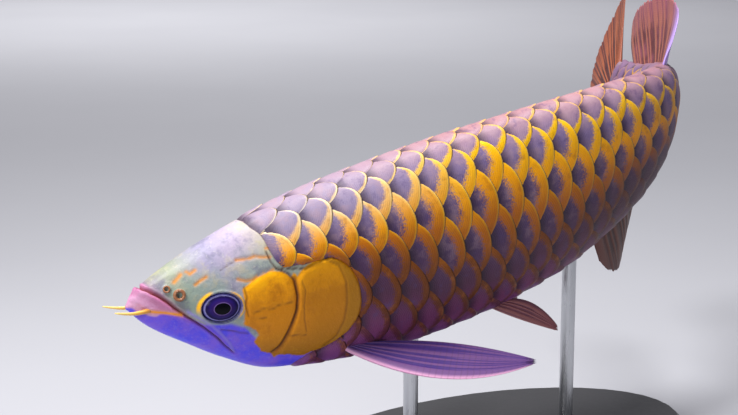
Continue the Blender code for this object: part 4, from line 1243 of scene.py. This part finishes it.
def studio():
    """Pale floor, even light all round and soft lamps."""
    bm = bmesh.new()
    bmesh.ops.create_grid(bm, x_segments=2, y_segments=2, size=FLOOR_HALF)
    mesh = bpy.data.meshes.new("studio_floor")
    bm.to_mesh(mesh)
    bm.free()
    floor = bpy.data.objects.new("studio_floor", mesh)
    bpy.context.scene.collection.objects.link(floor)
    paint = Paint("studio_floor", roughness=0.8)
    paint.set("Base Color", paint.mix(paint.noise(3.0, 2.0), *FLOOR_GREY))
    mesh.materials.append(paint.material)
    world = bpy.data.worlds.new("studio")
    world.use_nodes = True
    room = world.node_tree.nodes["Background"]
    room.inputs["Color"].default_value = ROOM_COLOUR
    room.inputs["Strength"].default_value = ROOM_STRENGTH
    bpy.context.scene.world = world
    bpy.context.scene.view_settings.view_transform = "Standard"
    for name, place, aim, size, power in LAMPS:
        light = bpy.data.lights.new(name, "AREA")
        light.shape = "DISK"
        light.size = size
        light.energy = power
        lamp = bpy.data.objects.new(name, light)
        bpy.context.scene.collection.objects.link(lamp)
        lamp.location = place
        away = np.array(place) - np.array(aim)
        flat = math.hypot(away[0], away[1])
        lamp.rotation_euler = (math.atan2(flat, away[2]), 0.0, math.atan2(away[0], -away[1]))


def camera():
    """Camera at the photograph's viewing angle."""
    lens = bpy.data.cameras.new("camera")
    lens.lens = LENS
    lens.sensor_width = SENSOR_WIDTH
    viewer = bpy.data.objects.new("camera", lens)
    viewer.location = CAMERA_PLACE
    viewer.rotation_euler = (math.radians(CAMERA_TILT), 0.0, 0.0)
    bpy.context.scene.collection.objects.link(viewer)
    bpy.context.scene.camera = viewer


def main():
    """Make every piece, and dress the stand."""
    studio()
    camera()
    add_piece(skin_piece(), skin_paint(), "head_skin", *FLESH)
    scales = scale_paint()
    add_piece(scales_piece("scales_left", LEFT_ROWS, 1, LEFT_SEED), scales, "scales")
    add_piece(scales_piece("scales_right", RIGHT_ROWS, -1, RIGHT_SEED), scales, "scales")
    eyes = eye_paint()
    barbels = barbel_paint()
    nostrils = nostril_paint()
    finishes = {name: fin_paint("fin_" + name, *colours) for name, colours in FIN_COLOURS.items()}
    for name, web, rays, root in MEDIAN_FINS:
        add_piece(fin_piece(name, median_fin(*web), rays, root), finishes[name], "fin", name + "_fin")
    add_piece(fin_piece("caudal", tail_web, TAIL_RAYS, TAIL_ROOT), finishes["caudal"], "fin", "caudal_fin")
    for hand, side in (("left", 1), ("right", -1)):
        add_piece(eye_piece("eyeball_" + hand, side), eyes, "eye", "eye_" + hand)
        add_piece(barbel_piece("feeler_" + hand, side), barbels, "barbel", "barbel_" + hand)
        for n, (s, height, radius, thickness) in enumerate(NOSTRILS):
            rim = ring_piece("nostril_%s_%d" % (hand, n), s, side_degrees(height, side), radius, thickness)
            add_piece(rim, nostrils, "head_skin")
        for name, leading, trailing, rays, root, fine in PAIRED_FINS:
            fin = fin_piece(name + "_" + hand, paired_web(leading, trailing, side), rays, root, fine)
            add_piece(fin, finishes[name], "fin", name + "_fin_" + hand)
    for node, material in (("stand_base", base_paint()), ("stand_rod_front", rod_paint()),
                           ("stand_rod_rear", rod_paint())):
        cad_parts[node].material_slots[0].material = material


main()
